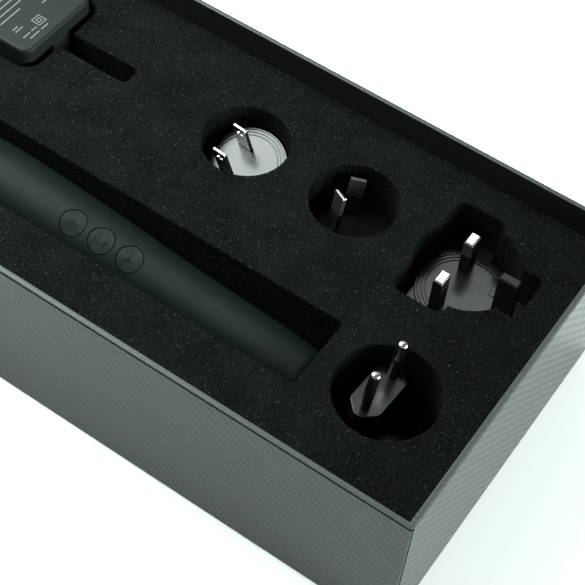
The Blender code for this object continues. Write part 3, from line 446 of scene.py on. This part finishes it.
def rod(radius, low, high, steps=48):
    """A plain round tool along Z."""
    bm = bmesh.new()
    bmesh.ops.create_cone(bm, cap_ends=True, segments=steps, radius1=radius, radius2=radius, depth=high - low)
    bmesh.ops.translate(bm, vec=(0, 0, (low + high) / 2), verts=bm.verts)
    return bm


def block(low, high):
    """A plain square tool between two corners."""
    bm = bmesh.new()
    bmesh.ops.create_cube(bm, size=1.0)
    low, high = Vector(low), Vector(high)
    stretch = Matrix.Diagonal((*(high - low), 1))
    bmesh.ops.transform(bm, matrix=Matrix.Translation((low + high) / 2) @ stretch, verts=bm.verts)
    return bm


def quarter(steps):
    """The angles of a quarter turn, for rounding an edge."""
    return [math.radians(90 * step / steps) for step in range(steps + 1)]


silicone = Finish("matte_silicone", (0.010, 0.014, 0.0135), 0.55, {"Specular IOR Level": 0.085})
silicone_cloud = silicone.noise(7.0, 3.0)
silicone.colour(silicone.mix(silicone_cloud, (0.0018, 0.0040, 0.0037), (0.0036, 0.0066, 0.0061)))
silicone.rough(silicone.between(silicone.noise(1.4, 3.0), 0.50, 0.60))
silicone.relief(silicone.noise(0.35), 0.012)

BUTTON_RADIUS = 5.2
BUTTON_GROOVE = 0.34
BUTTON_PITCH = 13.3
BUTTON_FIRST = 80.6  # from the tail
BUTTON_NAMES = ("minus", "power", "plus")
BUTTONS = [(name, TAIL_X - BUTTON_FIRST - BUTTON_PITCH * step) for step, name in enumerate(BUTTON_NAMES)]
ONE_SIDE = (2, 30)  # heights between which a tool cuts one side of the skin
grip_start, grip_end = TAIL_CAP + CAP_JOINT, GRIP[-1][0]
stations = [grip_start + (grip_end - grip_start) * step / GRIP_RINGS for step in range(GRIP_RINGS + 1)]
outside = [(TAIL_X - place, grip_radius(place)) for place in stations]
inside = [(x, radius - SKIN) for x, radius in reversed(outside)]
bm = turned(outside + inside, closed=True)
for _, x in BUTTONS:
    hole = rod(BUTTON_RADIUS + BUTTON_GROOVE, *ONE_SIDE)
    bmesh.ops.translate(hole, vec=(x, 0, 0), verts=hole.verts)
    bm = combine(bm, hole)
keep(bm, "silicone_grip", "toothbrush", [silicone], ["silicone_grip_sleeve"], brush_place)

CAP_TAPER = 0.0875  # carries on the slope of the grip, so the joint hardly shows
cap_radius = grip_radius(0)
cap_outline = [(TAIL_X - TAIL_CAP, 0.0), (TAIL_X - TAIL_CAP, cap_radius)]
for angle in quarter(10):
    out = TAIL_ROUND * math.sin(angle)
    slimmed = CAP_TAPER * (TAIL_CAP - TAIL_ROUND + out)
    cap_outline.append((TAIL_X - TAIL_ROUND + out, cap_radius - TAIL_ROUND * (1 - math.cos(angle)) - slimmed))
cap_outline.append((TAIL_X, 0.0))
keep(turned(cap_outline), "rounded_tail_cap", "toothbrush", [silicone], ["tail_cap"], brush_place)

# ---------------------------------------------------------------- buttons
# Three round caps of the same silicone, level with the grip and a hair's breadth apart from it, each with its
# sign sunk into the crown: a cross, the usual on-off ring and a bar.

CROWN = 0.1
CROWN_RINGS = 9
EDGE_DROP = 0.12
CAP_DEPTH = 2.6
TOOL_TOP = 3
SIGN_SIZE = 2.5
SIGN_STROKE = 0.55
SIGN_DEPTH = 0.35


def bar(x, y, length, width, angle):
    """An upright tool that cuts one stroke of a sign."""
    bm = block((-length / 2, -width / 2, -SIGN_DEPTH), (length / 2, width / 2, TOOL_TOP))
    bmesh.ops.transform(bm, matrix=at(x, y) @ Matrix.Rotation(math.radians(angle), 4, "Z"), verts=bm.verts)
    return bm


def power_ring():
    """The ring of the on-off sign, open towards the brush head."""
    ring = combine(rod(SIGN_SIZE, -SIGN_DEPTH, TOOL_TOP), rod(SIGN_SIZE - SIGN_STROKE, -1, TOOL_TOP + 1))
    return combine(ring, bar(-SIGN_SIZE, 0, SIGN_SIZE * 1.3, SIGN_STROKE * 3, 0))


for name, x in BUTTONS:
    radius = grip_radius(TAIL_X - x)
    bm = bmesh.new()
    bmesh.ops.create_circle(bm, cap_ends=True, segments=64, radius=BUTTON_RADIUS)
    crown_face = list(bm.faces)[0]
    for _ in range(CROWN_RINGS):
        bmesh.ops.inset_region(bm, faces=[crown_face], thickness=BUTTON_RADIUS / (CROWN_RINGS + 1.5))
    bmesh.ops.poke(bm, faces=[crown_face])
    grown = bmesh.ops.extrude_face_region(bm, geom=list(bm.faces))["geom"]
    top = [item for item in grown if isinstance(item, bmesh.types.BMVert)]
    for vert in top:
        share = math.hypot(vert.co.x, vert.co.y) / BUTTON_RADIUS
        drop = radius - math.sqrt(radius**2 - vert.co.y**2)
        vert.co.z = CROWN * (1 - share**2) - drop - EDGE_DROP * share**12
    bottom = [vert for vert in bm.verts if vert not in top]
    bmesh.ops.translate(bm, vec=(0, 0, -CAP_DEPTH), verts=bottom)
    if name == "power":
        bm = combine(bm, power_ring())
        bm = combine(bm, bar(-SIGN_SIZE * 0.75, 0, SIGN_SIZE, SIGN_STROKE, 0))
    else:
        bm = combine(bm, bar(0, 0, SIGN_SIZE * 2, SIGN_STROKE, 90))
        if name == "plus":
            bm = combine(bm, bar(0, 0, SIGN_SIZE * 2, SIGN_STROKE, 0))
    keep(bm, f"{name}_button_cap", f"{name}_button", [silicone], [f"{name}_button"],
         brush_place @ at(x, 0, radius))

# ---------------------------------------------------------------- neck collar, shaft and inner pieces
# A spun aluminium collar closes the grip round the drive shaft. The housing, chassis, cell, motor, coil and
# board behind it keep their own plain shapes and take real finishes.

COLLAR_GAP = 0.3
COLLAR_LENGTH = 5.0
COLLAR_SET_IN = 0.4
SHAFT_HOLE = 1.9
COLLAR_X = TAIL_X - GRIP[-1][0] - COLLAR_GAP - COLLAR_LENGTH
collar_radius = GRIP[-1][1] - COLLAR_SET_IN

collar = Finish("spun_aluminium", (0.42, 0.43, 0.44), 0.32, {"Metallic": 1.0})
turning = collar.node("Mapping", {}, {"Vector": collar.place(), "Scale": (14, 1, 1)})
collar.rough(collar.between(collar.noise(2.0, 3.0, turning), 0.24, 0.42))
collar.relief(collar.noise(1.0, 2.0, turning), 0.01)
profile = [
    (COLLAR_X, SHAFT_HOLE),
    (COLLAR_X, collar_radius - 2.4),
    (COLLAR_X + 0.15, collar_radius - 2.15),
    (COLLAR_X + 1.3, collar_radius - 1.0),
    (COLLAR_X + 1.6, collar_radius - 0.85),
    (COLLAR_X + 4.8, collar_radius - 0.05),
    (COLLAR_X + COLLAR_LENGTH, collar_radius - 0.2),
    (COLLAR_X + COLLAR_LENGTH, SHAFT_HOLE),
]
keep(turned(profile, closed=True), "neck_collar_ring", "toothbrush", [collar], ["neck_collar"],
     brush_place, 25)


def repaint(finish, *nodes):
    """Gives a finish to pieces that keep their own shape."""
    for node in nodes:
        frame["nodes"][node].material_slots[0].material = finish.material


housing = Finish("ribbed_housing_plastic", (0.05, 0.05, 0.055), 0.5)
housing.colour(housing.mix(housing.noise(3.0), (0.035, 0.036, 0.040), (0.060, 0.061, 0.066)))
housing.relief(housing.noise(0.3), 0.02)
repaint(housing, "handle_housing", "motor_and_battery_chassis")

rubber = Finish("black_seal_rubber", (0.02, 0.02, 0.02), 0.6)
rubber.colour(rubber.mix(rubber.noise(1.5), (0.014, 0.014, 0.015), (0.028, 0.028, 0.029)))
rubber.relief(rubber.noise(0.4), 0.02)
repaint(rubber, "tail_cap_seal", "motor_isolator", "shaft_seal")

steel = Finish("ground_steel", (0.55, 0.55, 0.56), 0.3, {"Metallic": 1.0})
steel.colour(steel.mix(steel.noise(2.0, 4.0), (0.46, 0.46, 0.47), (0.62, 0.62, 0.63)))
steel.rough(steel.between(steel.noise(0.8, 3.0), 0.22, 0.4))
repaint(steel, "motor", "drive_shaft", "shaft_clip", "minus_switch", "power_switch", "plus_switch")

laminate = Finish("green_board_laminate", (0.02, 0.16, 0.07), 0.35, {"Coat Weight": 0.3})
track_inputs = {"Vector": laminate.place(), "Scale": 260.0, "Mortar Size": 0.06}
tracks = laminate.node("TexBrick", {}, track_inputs, "Fac")
laminate.colour(laminate.mix(tracks, (0.012, 0.12, 0.05), (0.05, 0.24, 0.10)))
laminate.relief(tracks, 0.05)
repaint(laminate, "circuit_board", "charger_circuit_board")

cell_wrap = Finish("shrink_wrap", (0.05, 0.2, 0.45), 0.3, {"Coat Weight": 0.4})
cell_wrap.colour(cell_wrap.mix(cell_wrap.noise(6.0), (0.03, 0.15, 0.36), (0.06, 0.22, 0.48)))
cell_wrap.relief(cell_wrap.noise(2.0), 0.05)
repaint(cell_wrap, "battery", "input_capacitor", "output_capacitor")

copper = Finish("enamelled_copper", (0.72, 0.38, 0.22), 0.3, {"Metallic": 1.0})
winding = copper.node("Mapping", {}, {"Vector": copper.place(), "Scale": (4000, 1, 1)})
threads = copper.node("TexWave", {}, {"Vector": winding, "Scale": 0.5})
copper.colour(copper.mix(threads, (0.50, 0.22, 0.10), (0.78, 0.42, 0.24)))
copper.relief(threads, 0.06)
repaint(copper, "charging_coil", "near_contact", "far_contact")

ferrite = Finish("sintered_ferrite", (0.05, 0.05, 0.05), 0.7)
ferrite.colour(ferrite.mix(ferrite.noise(0.5, 5.0), (0.03, 0.03, 0.03), (0.075, 0.075, 0.078)))
ferrite.relief(ferrite.noise(0.3, 4.0), 0.03)
repaint(ferrite, "coil_ferrite", "transformer")

# ---------------------------------------------------------------- brush head
# A slim white moulding that snaps on the shaft, flattened into a paddle at its end, with nylon filaments
# stapled into it in rows of tufts.

HEAD_GAP = 0.6
HEAD_X = COLLAR_X - HEAD_GAP
HEAD_LENGTH = 64.0
SOCKET_RADIUS = 2.9
SOCKET_DEPTH = 16.5
TIP_X = HEAD_X - HEAD_LENGTH
PADDLE = (25.0, 11.6, 4.6)
TUFT_RADIUS = 0.85
TUFT_PITCH = 2.05
TUFT_FIELD = (10.2, 4.6)
STRANDS = 17
STRAND_TURN = 2.4
STRAND_FOOT = 2.0
BRISTLE_TOP = 12.4
FILAMENT_RADIUS = 0.14

white = Finish("white_head_plastic", (0.72, 0.73, 0.73), 0.25, {"Coat Weight": 0.2, "Subsurface Weight": 0.05})
white.colour(white.mix(white.noise(8.0), (0.68, 0.69, 0.69), (0.76, 0.77, 0.77)))
white.relief(white.noise(1.0), 0.008)
bm = turned([
    (TIP_X + PADDLE[0] - 5, 0.0),
    (TIP_X + PADDLE[0] - 5, 1.6),
    (TIP_X + PADDLE[0] + 1, 2.6),
    (TIP_X + PADDLE[0] + 8, 3.0),
    (HEAD_X - 24, 3.4),
    (HEAD_X - 16, 4.2),
    (HEAD_X - 9, 5.6),
    (HEAD_X - 4, 6.3),
    (HEAD_X - 0.5, 6.8),
    (HEAD_X, 6.5),
    (HEAD_X, SOCKET_RADIUS),
    (HEAD_X - SOCKET_DEPTH, SOCKET_RADIUS),
    (HEAD_X - SOCKET_DEPTH, 0.0),
], 64)
paddle, paddle_face = slab(PADDLE, PADDLE[1] / 2 - 0.2, 12)
build_up(paddle, paddle_face, PADDLE, [
    (0.3, -0.35),
    (0.9, -0.5),
    (PADDLE[2] - 0.9, -0.5),
    (PADDLE[2] - 0.3, -0.35),
    (PADDLE[2], 0.0),
])
bmesh.ops.translate(paddle, vec=(TIP_X + PADDLE[0] / 2, 0, -PADDLE[2] / 2), verts=paddle.verts)
bm = combine(bm, paddle, "UNION")
keep(bm, "white_brush_stem", "brush_head", [white], ["brush_head_stem"], brush_place)

nylon = Finish("nylon_filament", (0.80, 0.83, 0.86), 0.4)
nylon.colour(nylon.mix(nylon.noise(1.2), (0.72, 0.76, 0.80), (0.88, 0.90, 0.92)))
random.seed(4)
bm = bmesh.new()
middle = TIP_X + PADDLE[0] / 2
for row in range(-4, 5):
    for lane in range(-2, 3):
        x, y = row * TUFT_PITCH * 1.08, lane * TUFT_PITCH * 0.92
        if (x / TUFT_FIELD[0])**2 + (y / TUFT_FIELD[1])**2 > 1.02:
            continue
        height = BRISTLE_TOP - 0.35 * (lane % 2)
        for strand in range(STRANDS):
            turn = strand * STRAND_TURN
            spread = TUFT_RADIUS * math.sqrt((strand + 0.5) / STRANDS)
            foot = at(middle + x + spread * 0.8 * math.cos(turn), y + spread * 0.8 * math.sin(turn),
                      STRAND_FOOT)
            tilts = (random.uniform(-0.03, 0.03), random.uniform(-0.03, 0.03), turn)
            lean = Euler(tilts).to_matrix().to_4x4()
            bmesh.ops.create_cone(bm, cap_ends=True, segments=5, radius1=FILAMENT_RADIUS,
                                  radius2=FILAMENT_RADIUS * 0.7, depth=height - STRAND_FOOT,
                                  matrix=foot @ lean @ at(0, 0, (height - STRAND_FOOT) / 2))
keep(bm, "nylon_tufts", "brush_head", [nylon], ["bristle_tufts"], brush_place)

# ---------------------------------------------------------------- wall charger
# A flat wall charger moulded in spark-textured grey plastic, with rounded edges and a parting line round its
# middle. Its rating print is reduced to plain bars and a pair of nested squares.

CHARGER = (72.0, 42.0)
CHARGER_MIDDLE = (-96.0, 35.0)
CHARGER_TOP = 72.2
CHARGER_SPLIT = 57.2
CHARGER_CORNER = 5.0
PARTING_GAP = 0.15
SHELL_WALL = 2.0
FACE_ROUND = 1.6
OVERCUT = 1  # how far a tool stands out of what it cuts

charger = Finish("spark_textured_plastic", (0.028, 0.034, 0.033), 0.5, {"Specular IOR Level": 0.12})
grain = charger.noise(0.28, 3.0)
charger.colour(charger.mix(charger.noise(6.0, 3.0), (0.005, 0.007, 0.0068), (0.009, 0.0115, 0.011)))
charger.rough(charger.between(grain, 0.42, 0.6))
charger.relief(grain, 0.03)
repaint(charger, "charger_base_shell")

bm, face = slab(CHARGER, CHARGER_CORNER, 10)
depth = CHARGER_TOP - CHARGER_SPLIT - PARTING_GAP
build_up(bm, face, CHARGER, [(depth - FACE_ROUND + FACE_ROUND * math.sin(angle),
                              FACE_ROUND * (1 - math.cos(angle))) for angle in quarter(6)])
hollow_size = [side - 2 * SHELL_WALL for side in CHARGER]
hollow, hollow_face = slab(hollow_size, CHARGER_CORNER - SHELL_WALL, 6)
build_up(hollow, hollow_face, hollow_size, [(depth - SHELL_WALL + OVERCUT, 0.0)])
bmesh.ops.translate(hollow, vec=(0, 0, -OVERCUT), verts=hollow.verts)
bm = combine(bm, hollow)
keep(bm, "charger_face", "charger", [charger], ["charger_face_shell"],
     at(*CHARGER_MIDDLE, CHARGER_SPLIT + PARTING_GAP))

latch = Finish("gloss_black_latch", (0.02, 0.02, 0.022), 0.15, {"Coat Weight": 0.5})
latch.colour(latch.mix(latch.noise(4.0), (0.014, 0.014, 0.016), (0.026, 0.026, 0.028)))
latch.relief(latch.noise(1.0), 0.01)
repaint(latch, "head_release_latch")
tongue = Finish("white_socket_tongue", (0.70, 0.71, 0.71), 0.4)
tongue.colour(tongue.mix(tongue.noise(2.0), (0.64, 0.65, 0.65), (0.76, 0.77, 0.77)))
repaint(tongue, "output_socket_tongue")

print_ink = Finish("pale_pad_print", (0.42, 0.45, 0.44), 0.5)
print_ink.colour(print_ink.mix(print_ink.noise(0.5, 4.0), (0.050, 0.056, 0.054), (0.110, 0.120, 0.116)))


PRINT_HEIGHT = 0.05
BAR_WIDTH = 0.5
BARS = [  # middle of each bar, and its length across the charger
    (-64.6, 24.4, 5.6),
    (-64.6, 30.4, 4.4),
    (-67.0, 22.0, 4.0),
    (-67.0, 26.6, 3.2),
    (-71.4, 22.6, 4.4),
    (-73.0, 22.0, 3.0),
    (-79.0, 26.0, 12.0),
    (-82.0, 28.0, 16.0),
    (-85.0, 27.0, 14.0),
    (-88.0, 26.0, 12.0),
    (-91.0, 28.0, 16.0),
    (-74.0, 44.0, 8.0),
    (-77.0, 43.0, 6.0),
]
SQUARES = (4.6, 2.2)
SQUARE_LINE = 0.4
SQUARES_MIDDLE = (-68.7, 31.7)


def printed(x, y, length, width):
    """A thin bar of print that runs across the charger."""
    return block((x - width / 2, y - length / 2, 0), (x + width / 2, y + length / 2, PRINT_HEIGHT))


def printed_square(size):
    """The outline of a square, in print."""
    half, inner = size / 2, size / 2 - SQUARE_LINE
    square = combine(block((-half, -half, 0), (half, half, PRINT_HEIGHT)),
                     block((-inner, -inner, -OVERCUT), (inner, inner, OVERCUT)))
    bmesh.ops.translate(square, vec=(*SQUARES_MIDDLE, 0), verts=square.verts)
    return square


bm = bmesh.new()
for shape in [printed(*place, BAR_WIDTH) for place in BARS] + [printed_square(size) for size in SQUARES]:
    scrap = bpy.data.meshes.new("scrap")
    shape.to_mesh(scrap)
    shape.free()
    bm.from_mesh(scrap)
keep(bm, "rating_print", "charger", [print_ink], [], at(0, 0, CHARGER_TOP + 0.01))

# ---------------------------------------------------------------- plug heads
# Interchangeable mains heads of gloss black plastic: a disc with turned steps at its rim, a boss behind it that
# locks in the charger, and the pins of one country. They lie loose in their pockets at slight angles.

FLANGE = 16.9
STEPS = [  # height and radius of each turned step, from the flat middle out
    (0.0, 12.9),
    (-0.45, 13.05),
    (-0.45, 13.4),
    (-0.05, 13.55),
    (-0.05, 14.25),
    (-0.55, 14.4),
    (-0.55, 14.75),
    (-0.15, 14.9),
    (-0.15, 15.6),
    (-0.65, 15.75),
    (-0.65, 16.1),
    (-0.3, 16.25),
    (-0.3, 16.7),
    (-0.5, FLANGE),
]
FLANGE_THICK = 4.0
BOSS = 12.5
BOSS_EDGE = 0.4
DISC_DEPTH = 10.0
PIN_LINE = -4.8
PIN_SLACK = 0.15
SLOT_HEIGHTS = (-9.4, 4)
POINTER = [(2.3, 4), (1.35, 6)]  # radius and height of the tool for the outline and of what it leaves inside

gloss = Finish("gloss_black_plug_plastic", (0.006, 0.0065, 0.0065), 0.08, {"Specular IOR Level": 0.5})
gloss.colour(gloss.mix(gloss.noise(5.0, 3.0), (0.0018, 0.0021, 0.0021), (0.0038, 0.0042, 0.0042)))
gloss.rough(gloss.between(gloss.noise(2.5, 4.0), 0.20, 0.27))
gloss.relief(gloss.noise(3.0, 2.0), 0.01)
nickel = Finish("polished_nickel", (0.80, 0.79, 0.76), 0.16, {"Metallic": 1.0})
nickel.colour(nickel.mix(nickel.noise(2.0, 4.0), (0.72, 0.71, 0.68), (0.86, 0.85, 0.82)))
nickel.rough(nickel.between(nickel.noise(0.7, 3.0), 0.10, 0.24))
nickel.relief(nickel.noise(0.5, 3.0), 0.006)
repaint(nickel, "us_near_blade", "us_far_blade", "uk_near_pin", "uk_far_pin", "output_socket_shell")
sleeve = Finish("satin_pin_sleeve", (0.006, 0.006, 0.0065), 0.32, {"Specular IOR Level": 0.3})
sleeve.colour(sleeve.mix(sleeve.noise(2.0), (0.003, 0.003, 0.0034), (0.007, 0.007, 0.0076)))
sleeve.relief(sleeve.noise(0.6), 0.01)
repaint(sleeve, "uk_near_pin_sleeve", "uk_far_pin_sleeve", "uk_earth_pin")


def disc(depth=DISC_DEPTH, scale=1.0):
    """The turned disc and boss of a head, about Z."""
    profile = [(0.0, 0.0)] + [(height, radius * scale) for height, radius in STEPS]
    profile += [(-FLANGE_THICK, FLANGE * scale), (-FLANGE_THICK, BOSS)]
    profile += [(-depth + BOSS_EDGE, BOSS), (-depth, BOSS - BOSS_EDGE), (-depth, 0.0)]
    bm = turned(profile)
    bmesh.ops.rotate(bm, matrix=Matrix.Rotation(math.radians(-90), 3, "Y"), verts=bm.verts)
    return bm


def slots(bm, tools):
    """Cuts the pins' slots and the pointer into a head."""
    for tool in tools:
        bm = combine(bm, tool)
    return bm


def flat_slot(y, width, thickness, angle=0.0, x=PIN_LINE):
    """The slot of a flat pin, a shade larger than the pin."""
    long, wide = width / 2 + PIN_SLACK, thickness / 2 + PIN_SLACK
    bm = block((-long, -wide, SLOT_HEIGHTS[0]), (long, wide, SLOT_HEIGHTS[1]))
    bmesh.ops.transform(bm, matrix=at(x, y) @ Matrix.Rotation(math.radians(angle), 4, "Z"), verts=bm.verts)
    return bm


def pointer(angle):
    """The outline of the small triangle that shows which way the head turns to lock."""
    outline = []
    for radius, height in POINTER:
        outline.append(bmesh.new())
        bmesh.ops.create_cone(outline[-1], cap_ends=True, segments=3, radius1=radius, radius2=radius,
                              depth=height)
    bm = combine(*outline)
    bmesh.ops.scale(bm, vec=(1.25, 0.75, 1), verts=bm.verts)
    bmesh.ops.transform(bm, matrix=Matrix.Rotation(math.radians(angle), 4, "Z") @ at(11.3, 0, 1.5)
                        @ Matrix.Rotation(math.radians(110), 4, "Z"), verts=bm.verts)
    return bm


def laid(x, y, z, *tilts):
    """Where a head lies in its pocket, and its three tilts in degrees."""
    return at(x, y, z) @ Euler([math.radians(tilt) for tilt in tilts]).to_matrix().to_4x4()


us_place = laid(33.1, 34.6, 51.918, 17, 0, -4.3)
bm = slots(disc(), [flat_slot(-6.35, 6.3, 1.5), flat_slot(6.35, 6.3, 1.5), pointer(4)])
keep(bm, "us_head_disc", "us_plug_head", [gloss], ["us_plug_body"], us_place, 20)

AU_SLEEVE_TOP = 8.5
au_place = laid(83.2, 35.6, 49.794, -15, 0, 0)
half_sleeved = Finish("half_sleeved_blade", (0.30, 0.30, 0.29), 0.35, {"Specular IOR Level": 0.3})
from_disc = au_place.inverted()
upright = half_sleeved.node("Mapping", {}, {
    "Vector": half_sleeved.place(),
    "Rotation": tuple(from_disc.to_euler()),
    "Location": tuple(from_disc.translation * MM),
})
bare = half_sleeved.node("SeparateXYZ", {}, {0: upright}, "Z") > AU_SLEEVE_TOP * MM
half_sleeved.colour(half_sleeved.mix(bare, (0.004, 0.004, 0.0045), (0.20, 0.195, 0.19)))
half_sleeved.feed(half_sleeved.shader["Metallic"], bare)
half_sleeved.rough(half_sleeved.between(bare, 0.32, 0.38))
half_sleeved.relief(half_sleeved.noise(0.5, 3.0), 0.006)
repaint(half_sleeved, "au_near_blade", "au_far_blade")
bm = slots(disc(), [flat_slot(-6.85, 6.3, 1.6, -30), flat_slot(6.85, 6.3, 1.6, 30), pointer(4)])
keep(bm, "au_head_disc", "au_plug_head", [gloss], ["au_plug_body"], au_place, 20)

UK_DISC = 18.5
UK_DEPTH = 12.6
UK_PLATE_TOP = -0.9
UK_LOBE = (19.0, 48.6)
UK_LOBE_SET_IN = 1.6
UK_TAB = (25.4, 19.0)
UK_TAB_MIDDLE = 12.7
UK_PIN_SPREAD = 11.1
UK_EARTH_AHEAD = 22.2
uk_place = at(134.4, 35.3, 49.5)
bm = disc(UK_DEPTH, UK_DISC / FLANGE)
lobe_middle = -UK_DISC + UK_LOBE_SET_IN + UK_LOBE[0] / 2
plate_height = FLANGE_THICK + UK_PLATE_TOP
plate_steps = [(plate_height - 0.5, 0.0), (plate_height - 0.15, 0.15), (plate_height, 0.5)]
for size, x, radius in ((UK_LOBE, lobe_middle, 4.0), (UK_TAB, UK_TAB_MIDDLE, 2.0)):
    plate, plate_face = slab(size, radius, 8)
    build_up(plate, plate_face, size, plate_steps)
    bmesh.ops.translate(plate, vec=(x, 0, -FLANGE_THICK), verts=plate.verts)
    bm = combine(bm, plate, "UNION")
tools = [flat_slot(side * UK_PIN_SPREAD, 2.6, 4.95) for side in (-1, 1)]
tools += [flat_slot(0, 8.0, 4.0, 0, PIN_LINE + UK_EARTH_AHEAD), pointer(28)]
keep(slots(bm, tools), "uk_head_disc", "uk_plug_head", [gloss], ["uk_plug_body"], uk_place, 20)

TOWER = (13.2, 29.6, 19.0)
SHOULDER = 9.5
TOWER_NOSE = 1.5
TOWER_CORNER = 1.2
TOWER_EDGE = 0.5
EU_PIN = 19.0
EU_PIN_RADIUS = 2.0
EU_PIN_ROUND = 1.6
EU_PIN_CORE = 1.4
EU_PIN_HOLE = 1.7
EU_PIN_ROOT = -6
EU_COVER = (0.1, 10.0)  # where a sleeve starts and ends along its pin
EU_SPREAD = (9.5, 9.0)  # half the distance between the pins, at the root and at the tip
eu_place = laid(139.0, -28.8, 38.769, -7, 3, -1)
bm = disc()
tower = bmesh.new()
flank, end = TOWER[0] / 2, TOWER[1] / 2
corners = [(flank, -SHOULDER), (flank, SHOULDER), (TOWER_NOSE, end), (-TOWER_NOSE, end),
           (-flank, SHOULDER), (-flank, -SHOULDER), (-TOWER_NOSE, -end), (TOWER_NOSE, -end)]
tower.faces.new([tower.verts.new((x + PIN_LINE, y, -OVERCUT)) for x, y in corners])
bmesh.ops.bevel(tower, geom=list(tower.verts), offset=TOWER_CORNER, segments=4, profile=0.5,
                affect="VERTICES", material=-1)
grown = bmesh.ops.extrude_face_region(tower, geom=list(tower.faces))["geom"]
lid = [item for item in grown if isinstance(item, bmesh.types.BMFace)]
bmesh.ops.translate(tower, vec=(0, 0, TOWER[2] + OVERCUT), verts=lid[0].verts)
bmesh.ops.bevel(tower, geom=list(lid[0].edges), offset=TOWER_EDGE, segments=3, profile=0.5, affect="EDGES",
                material=-1)
bm = combine(bm, tower, "UNION")
for side in (-1, 1):
    lean = math.atan2(side * (EU_SPREAD[0] - EU_SPREAD[1]), EU_PIN)
    pin_place = at(PIN_LINE, side * EU_SPREAD[0], TOWER[2]) @ Matrix.Rotation(lean, 4, "X")
    hole = rod(EU_PIN_HOLE, EU_PIN_ROOT - 0.5, 5)
    bmesh.ops.transform(hole, matrix=pin_place, verts=hole.verts)
    bm = combine(bm, hole)
    name = "near" if side < 0 else "far"
    upright = eu_place @ pin_place @ Matrix.Rotation(math.radians(-90), 4, "Y")
    bare_from = EU_COVER[1] + 0.15
    metal = [(EU_PIN_ROOT, 0.0), (EU_PIN_ROOT, EU_PIN_CORE)]
    metal += [(bare_from, EU_PIN_CORE), (bare_from, EU_PIN_RADIUS)]
    metal += [(EU_PIN - EU_PIN_ROUND * (1 - math.sin(angle)), EU_PIN_RADIUS * math.cos(angle))
              for angle in quarter(6)[:-1]]
    keep(turned([*metal, (EU_PIN, 0.0)], 48), f"eu_{name}_pin_metal", "eu_plug_head", [nickel],
         [f"eu_{name}_pin"], upright, 40)
    cover = [
        (EU_COVER[0], 1.55),
        (EU_COVER[0], 1.95),
        (EU_COVER[0] + 0.1, 2.02),
        (EU_COVER[1] - 0.1, 2.02),
        (EU_COVER[1], 1.95),
        (EU_COVER[1], 1.55),
    ]
    keep(turned(cover, 48, closed=True), f"eu_{name}_pin_cover", "eu_plug_head", [sleeve],
         [f"eu_{name}_pin_sleeve"], upright, 40)
keep(bm, "eu_head_body", "eu_plug_head", [gloss], ["eu_plug_body"], eu_place, 20)

# ---------------------------------------------------------------- floor and light
# A plain pale floor and three soft boxes with a faint green tint: one close overhead to the left, a weak strip
# behind, and a strong one low beyond the right-hand end. A dim world lightens the shadows.

FLOOR_HALF = 6.0
FLOOR_DROP = 0.0008  # in metres, so that the floor doesn't touch the case's underside
LAMP_TINT = (0.90, 1.0, 0.965)
WORLD_TINT = (0.9, 0.93, 0.92, 1)
WORLD_STRENGTH = 0.2

floor_finish = Finish("pale_floor", (0.93, 0.93, 0.93), 0.9, {"Specular IOR Level": 0.1})
bm = bmesh.new()
bmesh.ops.create_grid(bm, x_segments=1, y_segments=1, size=FLOOR_HALF)
mesh = bpy.data.meshes.new("floor")
bm.to_mesh(mesh)
bm.free()
mesh.materials.append(floor_finish.material)
floor = bpy.data.objects.new("floor", mesh)
floor.location.z = -FLOOR_DROP
bpy.context.collection.objects.link(floor)


def soft_box(name, place, target, size, power):
    """A rectangular lamp in metres and watts, aimed at a point of the set."""
    lamp = bpy.data.lights.new(name, "AREA")
    lamp.shape = "RECTANGLE"
    lamp.size, lamp.size_y = size
    lamp.energy = power
    lamp.color = LAMP_TINT
    obj = bpy.data.objects.new(name, lamp)
    aim = Vector(place) - Vector(target)
    obj.matrix_world = Matrix.Translation(place) @ aim.to_track_quat("Z", "Y").to_matrix().to_4x4()
    bpy.context.collection.objects.link(obj)


soft_box("overhead_soft_box", (-0.42, 0.0, 0.60), (-0.1, 0, 0), (0.66, 0.6), 18.5)
soft_box("rear_soft_box", (-0.35, 0.85, 1.42), (0.1, 0, 0), (1.2, 0.3), 4.2)
soft_box("end_soft_box", (1.3, 0.15, 0.30), (0.18, 0, 0.03), (0.9, 0.4), 48)
world = bpy.data.worlds.new("studio")
world.use_nodes = True
background = world.node_tree.nodes["Background"].inputs
background["Color"].default_value = WORLD_TINT
background["Strength"].default_value = WORLD_STRENGTH
bpy.context.scene.world = world
